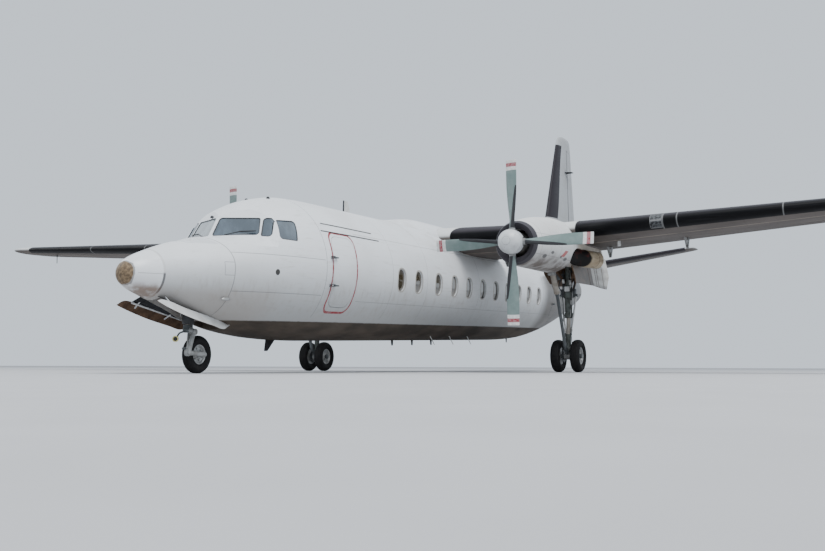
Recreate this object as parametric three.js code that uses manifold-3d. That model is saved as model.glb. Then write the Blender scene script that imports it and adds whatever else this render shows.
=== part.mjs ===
// Twin-engined high-wing turboprop airliner, parked on its gear. Millimetres.
// World frame: +X to the nose, +Y to port, +Z up, origin on the ground below the middle of the length.
// Everything is drawn in the airframe frame: +X along the cabin axis, origin on that axis above the
// middle of the main wheels. The airframe sits nose down by PITCH.
import * as THREE from 'three';
import { mergeVertices } from 'three/addons/utils/BufferGeometryUtils.js';
import Module from 'manifold-3d';

const wasm = await Module();
wasm.setup();

// Driving dimensions
const PITCH = THREE.MathUtils.degToRad(1.6);
const MAIN_GEAR_X = 880;
const AXIS_HEIGHT = 2205;
const GAP = 0.3;
const RUNNING_GAP = 8;
const NOSE_X = 11663;
const TAIL_X = -13426;

const WING = {
  halfSpan: 14500, rootChord: 3450, tipChord: 1400, quarterX: 660, rootZ: 968, dihedral: 0.0443,
  rootThick: 0.2, tipThick: 0.15, camber: 0.02, rootTwist: 5.6, tipTwist: 4.0,
  levelTo: 3600, outerJoint: 4290, tipStart: 13600,
};
const NACELLE = { y: 3600, hubX: 3893, hubZ: 654 };
const PROP = { radius: 1755, hubRadius: 215, hubBack: -90, hubFront: 110, shaftRadius: 60, shaftSides: 24,
  spinnerRadius: 262, spinnerReach: 285 };
const MAIN_WHEEL = { radius: 398, width: 235, rimRadius: 208, halfSpacing: 245, boreRadius: 52 };
const NOSE_WHEEL = { x: 9740, radius: 324.5, width: 190, rimRadius: 170, boreRadius: 32, steerX: 9990 };

// Body sections from nose to tail
// x, half width, top, bottom, height of the widest line
const BODY_ROWS = [
  [NOSE_X, 8, -311, -327, -319],
  [11640, 95, -226, -408, -318],
  [11560, 190, -125, -500, -310],
  [11400, 275, -28, -578, -292],
  [11050, 385, 100, -690, -270],
  [10500, 620, 262, -850, -225],
  [9900, 900, 400, -1045, -150],
  [9460, 1055, 620, -1155, -110],
  [9180, 1130, 860, -1215, -80],
  [9040, 1160, 945, -1237, -65],
  [8850, 1200, 1060, -1265, -50],
  [8300, 1275, 1255, -1325, -20],
  [7600, 1330, 1375, -1365, 0],
  [6700, 1350, 1400, -1385, 0],
  [3000, 1350, 1400, -1390, 0],
  [-3700, 1350, 1400, -1390, 0],
  [-5200, 1335, 1400, -1350, 10],
  [-6600, 1255, 1395, -1205, 60],
  [-8100, 1075, 1365, -965, 150],
  [-9600, 840, 1300, -680, 280],
  [-11000, 590, 1180, -390, 380],
  [-12300, 340, 985, -90, 450],
  [-13100, 165, 730, 140, 440],
  [TAIL_X, 30, 450, 360, 405],
];
const RADOME_X = 11050;
const REAR_BODY_X = -7250;

// Top of the nose below and beside the cockpit windows: x, top
const BROW_TOPS = [[9460, 460], [9180, 575], [9040, 645], [8850, 840], [8300, 1100]];

// Planes of the front and corner windows: x = at - side * |y| - rise * z
const WINDOW_PLANES = [{ at: 9796, side: 0.5585, rise: 0.7007 }, { at: 9857, side: 0.6279, rise: 0.7164 }];
const BROW_FOOT = 250;

// Nacelle sections: x, half width, top, bottom
const NACELLE_ROWS = [
  [3740, 425, 1082, 226],
  [3640, 468, 1128, 190],
  [3400, 520, 1185, 178],
  [2450, 585, 1345, 168],
  [1400, 600, 1420, 160],
  [0, 600, 1400, 165],
  [-1100, 545, 1270, 235],
  [-1900, 400, 1090, 400],
  [-2400, 230, 950, 560],
  [-2700, 40, 800, 720],
];

// Number helpers
const rad = THREE.MathUtils.degToRad;

function level(x, z) {
  const dz = z - AXIS_HEIGHT;
  return { x: x * Math.cos(PITCH) - dz * Math.sin(PITCH), z: x * Math.sin(PITCH) + dz * Math.cos(PITCH) };
}

function rowAt(rows, x) {
  let i = 0;
  while (i < rows.length - 2 && x < rows[i + 1][0]) i += 1;
  const slope = (a, b, k) => (rows[b][k] - rows[a][k]) / (rows[b][0] - rows[a][0]);
  const span = rows[i + 1][0] - rows[i][0];
  const t = (x - rows[i][0]) / span;
  return rows[i].map((value, k) => {
    if (k === 0) return x;
    const here = slope(i, i + 1, k);
    const before = i > 0 ? slope(i - 1, i, k) : here;
    const after = i < rows.length - 2 ? slope(i + 1, i + 2, k) : here;
    const m0 = before * here > 0 ? (2 * before * here) / (before + here) : 0;
    const m1 = after * here > 0 ? (2 * after * here) / (after + here) : 0;
    const h00 = 2 * t ** 3 - 3 * t ** 2 + 1;
    const h01 = 1 - h00;
    const h10 = t ** 3 - 2 * t ** 2 + t;
    const h11 = t ** 3 - t ** 2;
    return h00 * value + h01 * rows[i + 1][k] + span * (h10 * m0 + h11 * m1);
  });
}

// Hinges: sides of a round nose, its share of the section's depth, and the end pins
const HINGE_SIDES = 16;
const NOSE_FILL = 0.96;
const PIN_RADIUS = 9;
const PIN_REACH = 25;
const PIN_PLAY = 0.2;

// Radius of a many-sided bore in which a pin of that many sides turns freely
function turningBore(radius, sides) {
  return (radius + PIN_PLAY) / Math.cos(Math.PI / sides);
}

// Solid helpers
function toSolid(geometry) {
  const bare = geometry.clone();
  bare.deleteAttribute('normal');
  bare.deleteAttribute('uv');
  const merged = mergeVertices(bare, 1e-4);
  const vertProperties = new Float32Array(merged.attributes.position.array);
  const triVerts = new Uint32Array(merged.index.array);
  return new wasm.Manifold(new wasm.Mesh({ numProp: 3, vertProperties, triVerts }));
}

// Closed geometry as a solid, turned inside out where its faces point inwards
function outward(geometry) {
  const solid = toSolid(geometry);
  if (solid.volume() > 0) return solid;
  const flipped = mergeVertices(geometry);
  const index = flipped.index.array;
  for (let i = 0; i < index.length; i += 3) [index[i], index[i + 1]] = [index[i + 1], index[i]];
  return toSolid(flipped);
}

function toGeometry(solid) {
  const { vertProperties, triVerts } = solid.getMesh();
  const geometry = new THREE.BufferGeometry();
  geometry.setAttribute('position', new THREE.BufferAttribute(new Float32Array(vertProperties), 3));
  geometry.setIndex(new THREE.BufferAttribute(new Uint32Array(triVerts), 1));
  geometry.computeVertexNormals();
  return geometry;
}

function mirrored(solid) {
  const geometry = toGeometry(solid);
  const { array } = geometry.attributes.position;
  for (let i = 1; i < array.length; i += 3) array[i] = -array[i];
  const index = geometry.index.array;
  for (let i = 0; i < index.length; i += 3) [index[i], index[i + 1]] = [index[i + 1], index[i]];
  return toSolid(geometry);
}

function largest(solid) {
  return solid.decompose().sort((a, b) => b.volume() - a.volume())[0];
}

function moved(geometry, x, y, z) {
  return geometry.translate(x, y, z);
}

function box(x0, x1, y0, y1, z0, z1) {
  const geometry = new THREE.BoxGeometry(x1 - x0, y1 - y0, z1 - z0);
  return toSolid(moved(geometry, (x0 + x1) / 2, (y0 + y1) / 2, (z0 + z1) / 2));
}

function rod(from, to, radius, sides = 10, endRadius = radius) {
  const a = new THREE.Vector3(...from);
  const b = new THREE.Vector3(...to);
  const axis = b.clone().sub(a);
  const geometry = new THREE.CylinderGeometry(endRadius, radius, axis.length(), sides);
  const turn = new THREE.Quaternion().setFromUnitVectors(new THREE.Vector3(0, 1, 0), axis.normalize());
  geometry.applyQuaternion(turn);
  const middle = a.add(b).multiplyScalar(0.5);
  return toSolid(moved(geometry, middle.x, middle.y, middle.z));
}

function loft(rings) {
  const count = rings[0].length;
  const points = rings.flat();
  const middle = (ring) => ring.reduce((s, p) => s.add(p), new THREE.Vector3()).divideScalar(count);
  const first = points.push(middle(rings[0])) - 1;
  const last = points.push(middle(rings.at(-1))) - 1;
  const index = [];
  const end = (rings.length - 1) * count;
  for (let j = 0; j < count; j += 1) {
    const k = (j + 1) % count;
    for (let i = 0; i < rings.length - 1; i += 1) {
      const a = i * count;
      index.push(a + j, a + k, a + count + k, a + j, a + count + k, a + count + j);
    }
    index.push(first, k, j, last, end + j, end + k);
  }
  const geometry = new THREE.BufferGeometry().setFromPoints(points);
  geometry.setIndex(index);
  return outward(geometry);
}

// Lathe round the Y axis at (x, y, z), from a closed profile of [along Y, radius]
function turned(profile, x, y, z, sides) {
  const outline = profile.map(([along, radius]) => new THREE.Vector2(radius, along));
  return outward(moved(new THREE.LatheGeometry(outline, sides), x, y, z));
}

// Lathe round the X axis
function turnedX(profile, x, y, z, sides) {
  const outline = profile.map(([along, radius]) => new THREE.Vector2(radius, along));
  const geometry = new THREE.LatheGeometry(outline, sides);
  geometry.rotateZ(-Math.PI / 2);
  return outward(moved(geometry, x, y, z));
}

function join(...solids) {
  return solids.reduce((a, b) => a.add(b));
}

// Oval ring across the body at x, drawn in or out by grow
function ovalRing(x, half, top, bottom, wide, grow, sides, centreY = 0) {
  const ring = [];
  for (let j = 0; j < sides; j += 1) {
    const a = (2 * Math.PI * j) / sides;
    const y = (half + grow) * Math.sin(a);
    const rise = Math.cos(a) > 0 ? top - wide + grow : wide - bottom + grow;
    ring.push(new THREE.Vector3(x, centreY + y, wide + rise * Math.cos(a)));
  }
  return ring;
}

function bodyLoft(grow, fromX = NOSE_X, toX = TAIL_X, rows = BODY_ROWS, sides = 28) {
  const inside = rows.map(([x]) => x).filter((x) => x < fromX && x > toX);
  const stations = [fromX, ...inside, toX];
  return loft(stations.map((x) => {
    const [, half, top, bottom, wide] = rowAt(rows, x);
    return ovalRing(x, half, top, bottom, wide, grow, sides);
  }));
}

// Everything ahead of a window plane and above the foot of the brow
function aheadOfPlane({ at, side, rise }, handed, grow) {
  const offset = grow * Math.hypot(1, side, rise);
  const [half, top, front] = [1400, 1500, 10400];
  const planeX = (y, z) => at + offset - side * handed * y - rise * z;
  const ring = (y) => [[planeX(y, BROW_FOOT), BROW_FOOT], [front, BROW_FOOT], [front, top], [planeX(y, top), top]]
    .map(([x, z]) => new THREE.Vector3(x, y, z));
  return loft([ring(-half), ring(half)]);
}

// The body with its flat cockpit windows, drawn in or out by grow
function noseForm(grow) {
  const lowered = BODY_ROWS.map((row) => {
    const brow = BROW_TOPS.find(([x]) => x === row[0]);
    return brow ? [row[0], row[1], brow[1], row[3], row[4]] : row;
  });
  const brow = bodyLoft(grow, 9950, 7900, lowered);
  const planes = WINDOW_PLANES.flatMap((plane) => [1, -1].map((handed) => aheadOfPlane(plane, handed, grow)));
  return bodyLoft(grow).subtract(join(...planes).subtract(brow));
}

// Half thickness of a section as a share of its greatest thickness, at a share of the chord
function depthShare(t) {
  return 5 * (0.2969 * Math.sqrt(t) - 0.126 * t - 0.3516 * t ** 2 + 0.2843 * t ** 3 - 0.1015 * t ** 4);
}

// Wing section outline from the trailing edge over the top and back below
function sectionRing(place, { x, z, chord, thick, camber, twist }, sides = 9) {
  const points = [];
  const turn = rad(twist);
  for (let j = 0; j < 2 * sides; j += 1) {
    const over = j <= sides;
    const t = 0.5 * (1 + Math.cos((Math.PI * j) / sides));
    const half = thick * depthShare(t);
    const tail = 0.002 * t;
    const up = 4 * camber * t * (1 - t) + (over ? half + tail : -half - tail);
    const along = -t * chord;
    const high = up * chord;
    points.push(place(x + along * Math.cos(turn) + high * Math.sin(turn),
      z + along * Math.sin(turn) + high * Math.cos(turn)));
  }
  return points;
}

function wingAt(y, grow = 0) {
  const s = y / WING.halfSpan;
  const chord = WING.rootChord + (WING.tipChord - WING.rootChord) * s;
  return {
    x: WING.quarterX + chord / 4 + grow,
    z: WING.rootZ + WING.dihedral * Math.max(y, WING.levelTo),
    chord: chord + 2 * grow,
    thick: WING.rootThick + (WING.tipThick - WING.rootThick) * s + (2 * grow) / chord,
    camber: WING.camber,
    twist: WING.rootTwist + (WING.tipTwist - WING.rootTwist) * s,
  };
}

function wingRing(y, grow = 0, trim = 1) {
  const section = wingAt(Math.abs(y), grow);
  const cut = section.chord * (1 - trim);
  section.x -= cut * 0.45;
  section.chord -= cut;
  section.thick *= trim;
  return sectionRing((x, z) => new THREE.Vector3(x, y, z), section);
}

// The wing is level out to the nacelles and rises from there
function wingLoft(y0, y1, grow = 0) {
  const rings = [wingRing(y0, grow)];
  if (y0 < WING.levelTo) rings.push(wingRing(WING.levelTo, grow));
  if (y1 < WING.halfSpan) {
    rings.push(wingRing(y1, grow));
    return loft(rings);
  }
  // share of the tip's length, share of the chord left there
  const tipRows = [[0, 1], [0.5, 0.96], [0.85, 0.8], [1, 0.45]];
  const tip = WING.halfSpan - WING.tipStart;
  tipRows.forEach(([share, left]) => rings.push(wingRing(WING.tipStart + share * tip, grow, left)));
  return loft(rings);
}

// Point on the middle of the wing section at a share of the chord
function wingMiddle(y, share) {
  const { x, z, chord, camber, twist } = wingAt(y);
  const along = -share * chord;
  const up = 4 * camber * share * (1 - share) * chord;
  const turn = rad(twist);
  return [x + along * Math.cos(turn) + up * Math.sin(turn), y, z + along * Math.sin(turn) + up * Math.cos(turn)];
}

function wingHalfDepth(y, t) {
  const { chord, thick } = wingAt(y);
  return thick * chord * depthShare(t);
}

// Everything behind a line from a to b, between end faces square to that line
function squareBlock(axis, a, b, aheadA = 0, aheadB = aheadA) {
  const aft = new THREE.Vector3(-1, 0, 0).addScaledVector(axis, axis.x).normalize();
  const up = axis.clone().cross(aft);
  const [long, high] = [3000, 900];
  const ring = (p, ahead) => [[-ahead, -high], [long, -high], [long, high], [-ahead, high]].map(
    ([back, rise]) => new THREE.Vector3(...p).addScaledVector(aft, back).addScaledVector(up, rise));
  return loft([ring(a, aheadA), ring(b, aheadB)]);
}

// The same with a round front on the hinge line
function behindHinge(a, b, r0, r1, aheadA = 0, aheadB = 0) {
  const axis = new THREE.Vector3(...b).sub(new THREE.Vector3(...a)).normalize();
  return rod(a, b, r0, HINGE_SIDES, r1).add(squareBlock(axis, a, b, aheadA, aheadB));
}

// A moving surface cut out of a wing: returns the wing with its notch, and the moving piece.
// The notch reaches ahead of the hinge as far as the surface swings there, by swing degrees.
function hingedAlongSpan(fixed, whole, y0, y1, hinge, swing) {
  const [a, b] = [hinge(y0), hinge(y1)];
  const step = (p, q, mm) => p.map((v, i) => v + ((q[i] - v) * mm) / Math.abs(q[1] - p[1]));
  const notchRadius = (radius) => (radius / NOSE_FILL + RUNNING_GAP) / Math.cos(Math.PI / HINGE_SIDES);
  const ahead = (radius) => (radius / NOSE_FILL) * Math.tan(rad(swing)) + RUNNING_GAP;
  const notch = behindHinge(a.point, b.point, notchRadius(a.radius), notchRadius(b.radius), ahead(a.radius),
    ahead(b.radius));
  const inner = step(a.point, b.point, RUNNING_GAP);
  const outer = step(b.point, a.point, RUNNING_GAP);
  const piece = behindHinge(inner, outer, a.radius, b.radius);
  const pinIn = step(a.point, b.point, -PIN_REACH);
  const pinOut = step(b.point, a.point, -PIN_REACH);
  const blank = whole.intersect(piece).add(rod(inner, outer, a.radius, HINGE_SIDES, b.radius));
  const moving = blank.add(rod(pinIn, pinOut, PIN_RADIUS));
  const bore = rod(step(a.point, b.point, -PIN_REACH - 1), step(b.point, a.point, -PIN_REACH - 1),
    turningBore(PIN_RADIUS, 10));
  return { fixed: fixed.subtract(notch).subtract(bore), moving };
}

// Wing: trailing edge pieces, each from y0 to y1 with its hinge at a share of the chord
const AILERON = { y0: 9060, y1: 13560, share: 0.74, swing: 20 };
const FLAP_OUTER = { y0: 4400, y1: 8960, share: 0.72, brackets: [4500, 6400] };
const FLAP_INNER = { y0: 1520, y1: 2960, share: 0.72, brackets: [1720, 2700] };
const FLAP_HINGE_DROP = 230;
const BRACKET = { thick: 24, side: 6, radius: 34, pin: 12 };

// Jacking pads below the wing and the nose
const WING_JACK = [420, 5000];
const WING_PAD_Z = 780;
const NOSE_JACK = [8300, -1345];
const PAD_HALF = 60;

function aileronHinge(y) {
  return { point: wingMiddle(y, AILERON.share), radius: wingHalfDepth(y, AILERON.share) * NOSE_FILL };
}

function flapHinge(y, share) {
  const [x, , z] = wingMiddle(y, share);
  return [x - 20, y, z - wingHalfDepth(y, share) - FLAP_HINGE_DROP];
}

// Vertical plate at span position y, from its outline in side view
function plate(y, outline) {
  const shape = new THREE.Shape(outline.map(([px, pz]) => new THREE.Vector2(px, pz)));
  const geometry = new THREE.ExtrudeGeometry(shape, { depth: BRACKET.thick, bevelEnabled: false });
  geometry.rotateX(Math.PI / 2);
  return toSolid(moved(geometry, 0, y + BRACKET.thick / 2, 0));
}

// Fixed and moving arm of one flap hinge at span position y, on the line of the pins
function flapBracket(y, share, pinLine) {
  const [x, , z] = flapHinge(y, share);
  const low = wingMiddle(y, share)[2] - wingHalfDepth(y, share);
  const { thick, side, radius, pin } = BRACKET;
  const onPin = (at) => {
    const reach = (at - y) / pinLine.y;
    return [x + pinLine.x * reach, at, z + pinLine.z * reach];
  };
  const along = (from, to, r, sides) => rod(onPin(from), onPin(to), r, sides);
  const eye = (at) => along(at - thick / 2, at + thick / 2, radius, 12);
  const fixedArm = plate(y, [[x + 330, low], [x + 110, low + 40], [x + 60, low + 40],
    [x - 20, z + 22], [x + 25, z - 25]]);
  const flapY = y + thick + side;
  const movingArm = plate(flapY, [[x + 5, low + 30], [x - 220, low + 60], [x - 25, z - 20], [x + 25, z + 10]]);
  const hole = along(y - thick, y + thick / 2 + 3, turningBore(pin, 10));
  return {
    fixed: join(fixedArm, eye(y)).subtract(hole),
    moving: join(movingArm, eye(flapY), along(y - thick / 2 - side, flapY, pin)),
  };
}

// Flap with a plain front wall, its arms below, and the wing's brackets that hold its pins
function flapCut(fixed, whole, { y0, y1, share, brackets }) {
  const [pinA, pinB] = brackets.map((y) => new THREE.Vector3(...flapHinge(y, share)));
  const pinLine = pinB.clone().sub(pinA).normalize();
  const block = (from, to, ahead) => squareBlock(pinLine, wingMiddle(from, share), wingMiddle(to, share), ahead);
  let wing = fixed.subtract(block(y0, y1, RUNNING_GAP));
  let flap = whole.intersect(block(y0 + RUNNING_GAP, y1 - RUNNING_GAP, 0));
  brackets.forEach((y) => {
    const arms = flapBracket(y, share, pinLine);
    wing = wing.add(arms.fixed);
    flap = flap.add(arms.moving);
  });
  return { fixed: wing, moving: flap };
}

function outerWing() {
  const whole = wingLoft(WING.outerJoint + GAP / 2, WING.halfSpan);
  const [padX, padY] = WING_JACK;
  const padTop = wingMiddle(padY, 0.35)[2];
  const pad = box(padX - PAD_HALF, padX + PAD_HALF, padY - PAD_HALF, padY + PAD_HALF, WING_PAD_Z, padTop);
  const withFlap = flapCut(whole.add(pad), whole, FLAP_OUTER);
  const withAileron = hingedAlongSpan(withFlap.fixed, whole, AILERON.y0, AILERON.y1, aileronHinge, AILERON.swing);
  return { wing: withAileron.fixed, flap: withFlap.moving, aileron: withAileron.moving };
}

function symmetric(solid) {
  return solid.add(mirrored(solid));
}

function centreWing() {
  const whole = symmetric(wingLoft(0, WING.outerJoint - GAP / 2));
  const port = flapCut(whole, whole, FLAP_INNER);
  const starboard = flapCut(mirrored(port.fixed), whole, FLAP_INNER);
  return { wing: mirrored(starboard.fixed), flap: port.moving };
}

// Nacelle round the engine, with its intake, gear bay and exhaust outlet
const ENGINE = { backX: 1460, frontX: 3560, radius: 345 };
const SHAFT_REACH = 150;
const INTAKE = { radius: 350, lipRadius: 385, lipX: 3720 };
const EXHAUST = { radius: 205, inner: 185 };
const GEAR_BAY = { x0: -1950, x1: 1330, half: 370, top: 735 };

function nacelleBody(grow = 0) {
  return loft(NACELLE_ROWS.map(([x, half, top, bottom]) => {
    const wide = (top + bottom) / 2;
    return ovalRing(x, half, top, bottom, wide, grow, 20, NACELLE.y);
  }));
}

function exhaustPath(lead = 0) {
  return new THREE.CatmullRomCurve3([
    new THREE.Vector3(1150 + lead, NACELLE.y + 300 - lead / 3, 600),
    new THREE.Vector3(850, NACELLE.y + 420, 560),
    new THREE.Vector3(500, NACELLE.y + 610, 520),
    new THREE.Vector3(100, NACELLE.y + 780, 500),
  ]);
}

function pipe(path, radius, inner) {
  const shape = new THREE.Shape().absarc(0, 0, radius, 0, 2 * Math.PI);
  if (inner) shape.holes.push(new THREE.Path().absarc(0, 0, inner, 0, 2 * Math.PI, true));
  return toSolid(new THREE.ExtrudeGeometry(shape, { extrudePath: path, steps: 5, curveSegments: 6 }));
}

function nacelle(wingCut, legTop, strutTop) {
  const mouth = INTAKE.lipX - ENGINE.backX;
  const duct = turnedX([[0, 0], [0, INTAKE.radius], [mouth - 100, INTAKE.radius], [mouth, INTAKE.lipRadius],
    [mouth + 50, INTAKE.lipRadius], [mouth + 50, 0]], ENGINE.backX, NACELLE.y, NACELLE.hubZ, 24);
  const bay = box(GEAR_BAY.x0, GEAR_BAY.x1, NACELLE.y - GEAR_BAY.half, NACELLE.y + GEAR_BAY.half, -400, GEAR_BAY.top);
  const cowl = nacelleBody().subtract(wingCut).subtract(duct);
  const outlet = pipe(exhaustPath(1), EXHAUST.radius + 1);
  const open = cowl.subtract(outlet).subtract(bay.subtract(engineWall()));
  return largest(open.subtract(legTop).subtract(strutTop));
}

function engineWall() {
  return box(ENGINE.backX - 60, 4000, 0, 9000, 240, 2000);
}

function engine() {
  const front = ENGINE.frontX - ENGINE.backX;
  const block = turnedX([[GAP, 0], [GAP, ENGINE.radius], [40, ENGINE.radius], [60, 300], [front - 500, 300],
    [front - 60, 200], [front, 160], [front, 0]], ENGINE.backX, NACELLE.y, NACELLE.hubZ, 14);
  const boreDepth = SHAFT_REACH + 50;
  const bore = rod([ENGINE.frontX - boreDepth, NACELLE.y, NACELLE.hubZ], [ENGINE.frontX + 10, NACELLE.y, NACELLE.hubZ],
    turningBore(PROP.shaftRadius, PROP.shaftSides), PROP.shaftSides);
  return block.subtract(bore);
}

// Propeller with four blades fused to its hub, and the shaft that enters the engine
function bladeSolid() {
  // radius, chord, thickness, pitch angle from the plane of rotation
  const rows = [
    [110, 110, 110, 40],
    [300, 130, 105, 38],
    [520, 170, 70, 32],
    [800, 225, 48, 24],
    [1250, 262, 30, 15],
    [PROP.radius, 251, 14, 9.5],
  ];
  return loft(rows.map(([r, chord, thick, pitch]) => {
    const ring = [];
    for (let j = 0; j < 8; j += 1) {
      const a = (2 * Math.PI * j) / 8;
      const along = (chord / 2) * Math.cos(a);
      const across = (thick / 2) * Math.sin(a);
      const turn = rad(pitch);
      ring.push(new THREE.Vector3(along * Math.sin(turn) + across * Math.cos(turn),
        along * Math.cos(turn) - across * Math.sin(turn), r));
    }
    return ring;
  }));
}

function propeller(y) {
  const blade = toGeometry(bladeSolid());
  const { hubBack, hubFront, hubRadius } = PROP;
  const hub = turnedX([[hubBack, 0], [hubBack, hubRadius], [hubFront, hubRadius], [hubFront, 0]], 0, 0, 0, 16);
  const shaft = rod([ENGINE.frontX - SHAFT_REACH - NACELLE.hubX, 0, 0], [0, 0, 0], PROP.shaftRadius, PROP.shaftSides);
  const blades = [0, 1, 2, 3].map((i) => toSolid(blade.clone().rotateX((i * Math.PI) / 2)));
  return moved(toGeometry(join(hub, shaft, ...blades)), NACELLE.hubX, y, NACELLE.hubZ);
}

function spinner(y) {
  const back = PROP.hubFront + GAP;
  const curve = [];
  for (let i = 0; i <= 6; i += 1) {
    const a = (i / 6) * (Math.PI / 2);
    curve.push([back + PROP.spinnerReach * Math.sin(a), PROP.spinnerRadius * Math.cos(a)]);
  }
  const shell = turnedX([[back, 0], ...curve], 0, 0, 0, 20);
  return moved(toGeometry(shell), NACELLE.hubX, y, NACELLE.hubZ);
}

// Wheels
const WHEEL_SIDES = 20;

function tyre({ radius, width, rimRadius }, x, y, z) {
  const half = width / 2;
  const profile = [
    [-half * 0.62, rimRadius], [-half, (radius + rimRadius) / 2], [-half * 0.86, radius - 28],
    [-half * 0.5, radius], [half * 0.5, radius], [half * 0.86, radius - 28],
    [half, (radius + rimRadius) / 2], [half * 0.62, rimRadius], [-half * 0.62, rimRadius],
  ];
  return turned(profile, x, y, z, WHEEL_SIDES);
}

function rimSolid({ width, rimRadius, boreRadius }, x, y, z, face) {
  const half = width / 2;
  const r = rimRadius - GAP;
  const bore = (boreRadius + GAP) / Math.cos(Math.PI / WHEEL_SIDES);
  const outline = [
    [-half * 0.62, bore], [half * 0.3, bore], [half * 0.42, boreRadius + 30],
    [half * 0.2, boreRadius + 45], [half * 0.2, r - 35], [half * 0.62, r - 22], [half * 0.62, r],
    [-half * 0.62, r], [-half * 0.62, bore],
  ];
  return turned(outline.map(([a, b]) => [face * a, b]), x, y, z, WHEEL_SIDES);
}

// Main gear, on its own side of the aircraft
const AXLE = level(0, MAIN_WHEEL.radius);
const LEG_TOP = level(-130, 2960);

function legTopBlock(grow) {
  return box(LEG_TOP.x - 120 - grow, LEG_TOP.x + 120 + grow, NACELLE.y - 150 - grow, NACELLE.y + 150 + grow,
    GEAR_BAY.top - 60, GEAR_BAY.top + 25 + grow);
}

function strutTopBlock(grow) {
  const top = level(1185, 2330);
  return box(top.x - 60 - grow, GEAR_BAY.x1 + 20 + grow, NACELLE.y - 70 - grow, NACELLE.y + 70 + grow,
    top.z - 60 - grow, top.z + 60 + grow);
}

// Main gear members: from and to as [x, height, across], radius, sides
const LEG_RODS = {
  cylinder: [[-115, 2940, 0], [-75, 1330, 0], 88, 12],
  piston: [[-75, 1400, 0], [0, MAIN_WHEEL.radius, 0], 56, 10],
  collar: [[-92, 1960, 0], [-88, 1820, 0], 120, 10],
  crossTube: [[-90, 1880, -210], [-90, 1880, 210], 42, 8],
  axle: [[0, MAIN_WHEEL.radius, -350], [0, MAIN_WHEEL.radius, 350], MAIN_WHEEL.boreRadius, 12],
  outerCap: [[0, MAIN_WHEEL.radius, 335], [0, MAIN_WHEEL.radius, 352], 66, 8],
  innerCap: [[0, MAIN_WHEEL.radius, -335], [0, MAIN_WHEEL.radius, -352], 66, 8],
  outerLink: [[-90, 1880, 190], [-30, 920, 60], 24, 6],
  innerLink: [[-90, 1880, -190], [-30, 920, -60], 24, 6],
  foot: [[-25, 920, 0], [-8, 480, 0], 70, 10],
  linkTie: [[-30, 930, -70], [-30, 930, 70], 30, 6],
  upperStrut: [[1185, 2330, 0], [850, 1870, 0], 66, 10],
  lowerStrut: [[860, 1885, 0], [215, 560, 0], 40, 10],
  heel: [[230, 590, 0], [0, 430, 0], 42, 8],
};

function legRod([from, to, radius, sides], centreY) {
  const at = ([x, height, across]) => {
    const p = level(x, height);
    return [p.x, centreY + across, p.z];
  };
  return rod(at(from), at(to), radius, sides);
}

function mainLeg() {
  const rods = Object.values(LEG_RODS).map((row) => legRod(row, NACELLE.y));
  return join(...rods, legTopBlock(0), strutTopBlock(0));
}

// Main gear doors: x, top, bottom
const MAIN_DOOR_ROWS = {
  outer: [[990, 400, 60], [940, 400, -71], [-590, 440, -68], [-1300, 500, -100], [-1850, 640, -110], [-2090, 700, 226]],
  inner: [[340, 400, 235], [290, 400, 190], [-140, 420, -20], [-780, 450, -50], [-1500, 560, -20], [-1620, 640, 150]],
};

// Main gear door: a curved plate that hangs beside the bay
function mainDoor(side) {
  const y = NACELLE.y + side * (GEAR_BAY.half + 14);
  const leaf = loft(MAIN_DOOR_ROWS[side > 0 ? 'outer' : 'inner'].map(([x, top, bottom]) => {
    const lean = side * 90;
    return [
      new THREE.Vector3(x, y, top), new THREE.Vector3(x, y + lean, bottom),
      new THREE.Vector3(x, y + lean + side * 22, bottom), new THREE.Vector3(x, y + side * 22, top),
    ];
  }));
  return largest(leaf.subtract(nacelleBody(GAP)));
}

// Nose gear
const NOSE_AXLE = level(NOSE_WHEEL.x, NOSE_WHEEL.radius);
const NOSE_BAY = { x0: 9380, x1: 10960, half: 330, top: -420 };

// Nose leg and fork members: from and to as [x, height, across], radius, sides
const STEER_X = NOSE_WHEEL.steerX;
const ARM_Y = 150;
const NOSE_LEG_RODS = {
  sleeve: [[STEER_X - 20, 1480, 0], [STEER_X, 830, 0], 78, 12],
  collar: [[STEER_X, 1000, 0], [STEER_X, 830, 0], 100, 12],
  brace: [[STEER_X - 10, 1120, 0], [9500, 1260, 0], 38, 12],
};
const STEM_RADIUS = 45;
const STEM_SIDES = 20;
const STEM = [[STEER_X, 960, 0], [STEER_X, 800, 0], STEM_RADIUS, STEM_SIDES];
const STEM_BORE = [[STEER_X, 820, 0], [STEER_X, 970, 0], turningBore(STEM_RADIUS, STEM_SIDES), STEM_SIDES];
const NOSE_FORK_RODS = {
  stem: STEM,
  head: [[STEER_X, 822, 0], [STEER_X, 700, 0], 82, 12],
  shoulder: [[STEER_X, 745, 0], [STEER_X + 20, 700, ARM_Y], 50, 10],
  drop: [[STEER_X + 20, 720, ARM_Y], [STEER_X + 160, 360, ARM_Y], 42, 10],
  knee: [[STEER_X + 160, 350, ARM_Y - 50], [STEER_X + 160, 350, ARM_Y + 50], 60, 10],
  arm: [[STEER_X + 165, 350, ARM_Y], [NOSE_WHEEL.x, NOSE_WHEEL.radius, ARM_Y], 46, 10],
  axle: [[NOSE_WHEEL.x, NOSE_WHEEL.radius, ARM_Y + 40], [NOSE_WHEEL.x, NOSE_WHEEL.radius, -78],
    NOSE_WHEEL.boreRadius, 16],
  cap: [[NOSE_WHEEL.x, NOSE_WHEEL.radius, -62], [NOSE_WHEEL.x, NOSE_WHEEL.radius, -80], 42, 10],
};

function noseLeg() {
  const ceiling = NOSE_BAY.top;
  const foot = box(NOSE_BAY.x0 + GAP, 9560, -120, 120, ceiling - 420, ceiling - 300);
  const head = box(9860, 10060, -110, 110, ceiling - 70, ceiling - GAP);
  const rods = Object.values(NOSE_LEG_RODS).map((row) => legRod(row, 0));
  return join(...rods, foot, head).subtract(legRod(STEM_BORE, 0));
}

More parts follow.
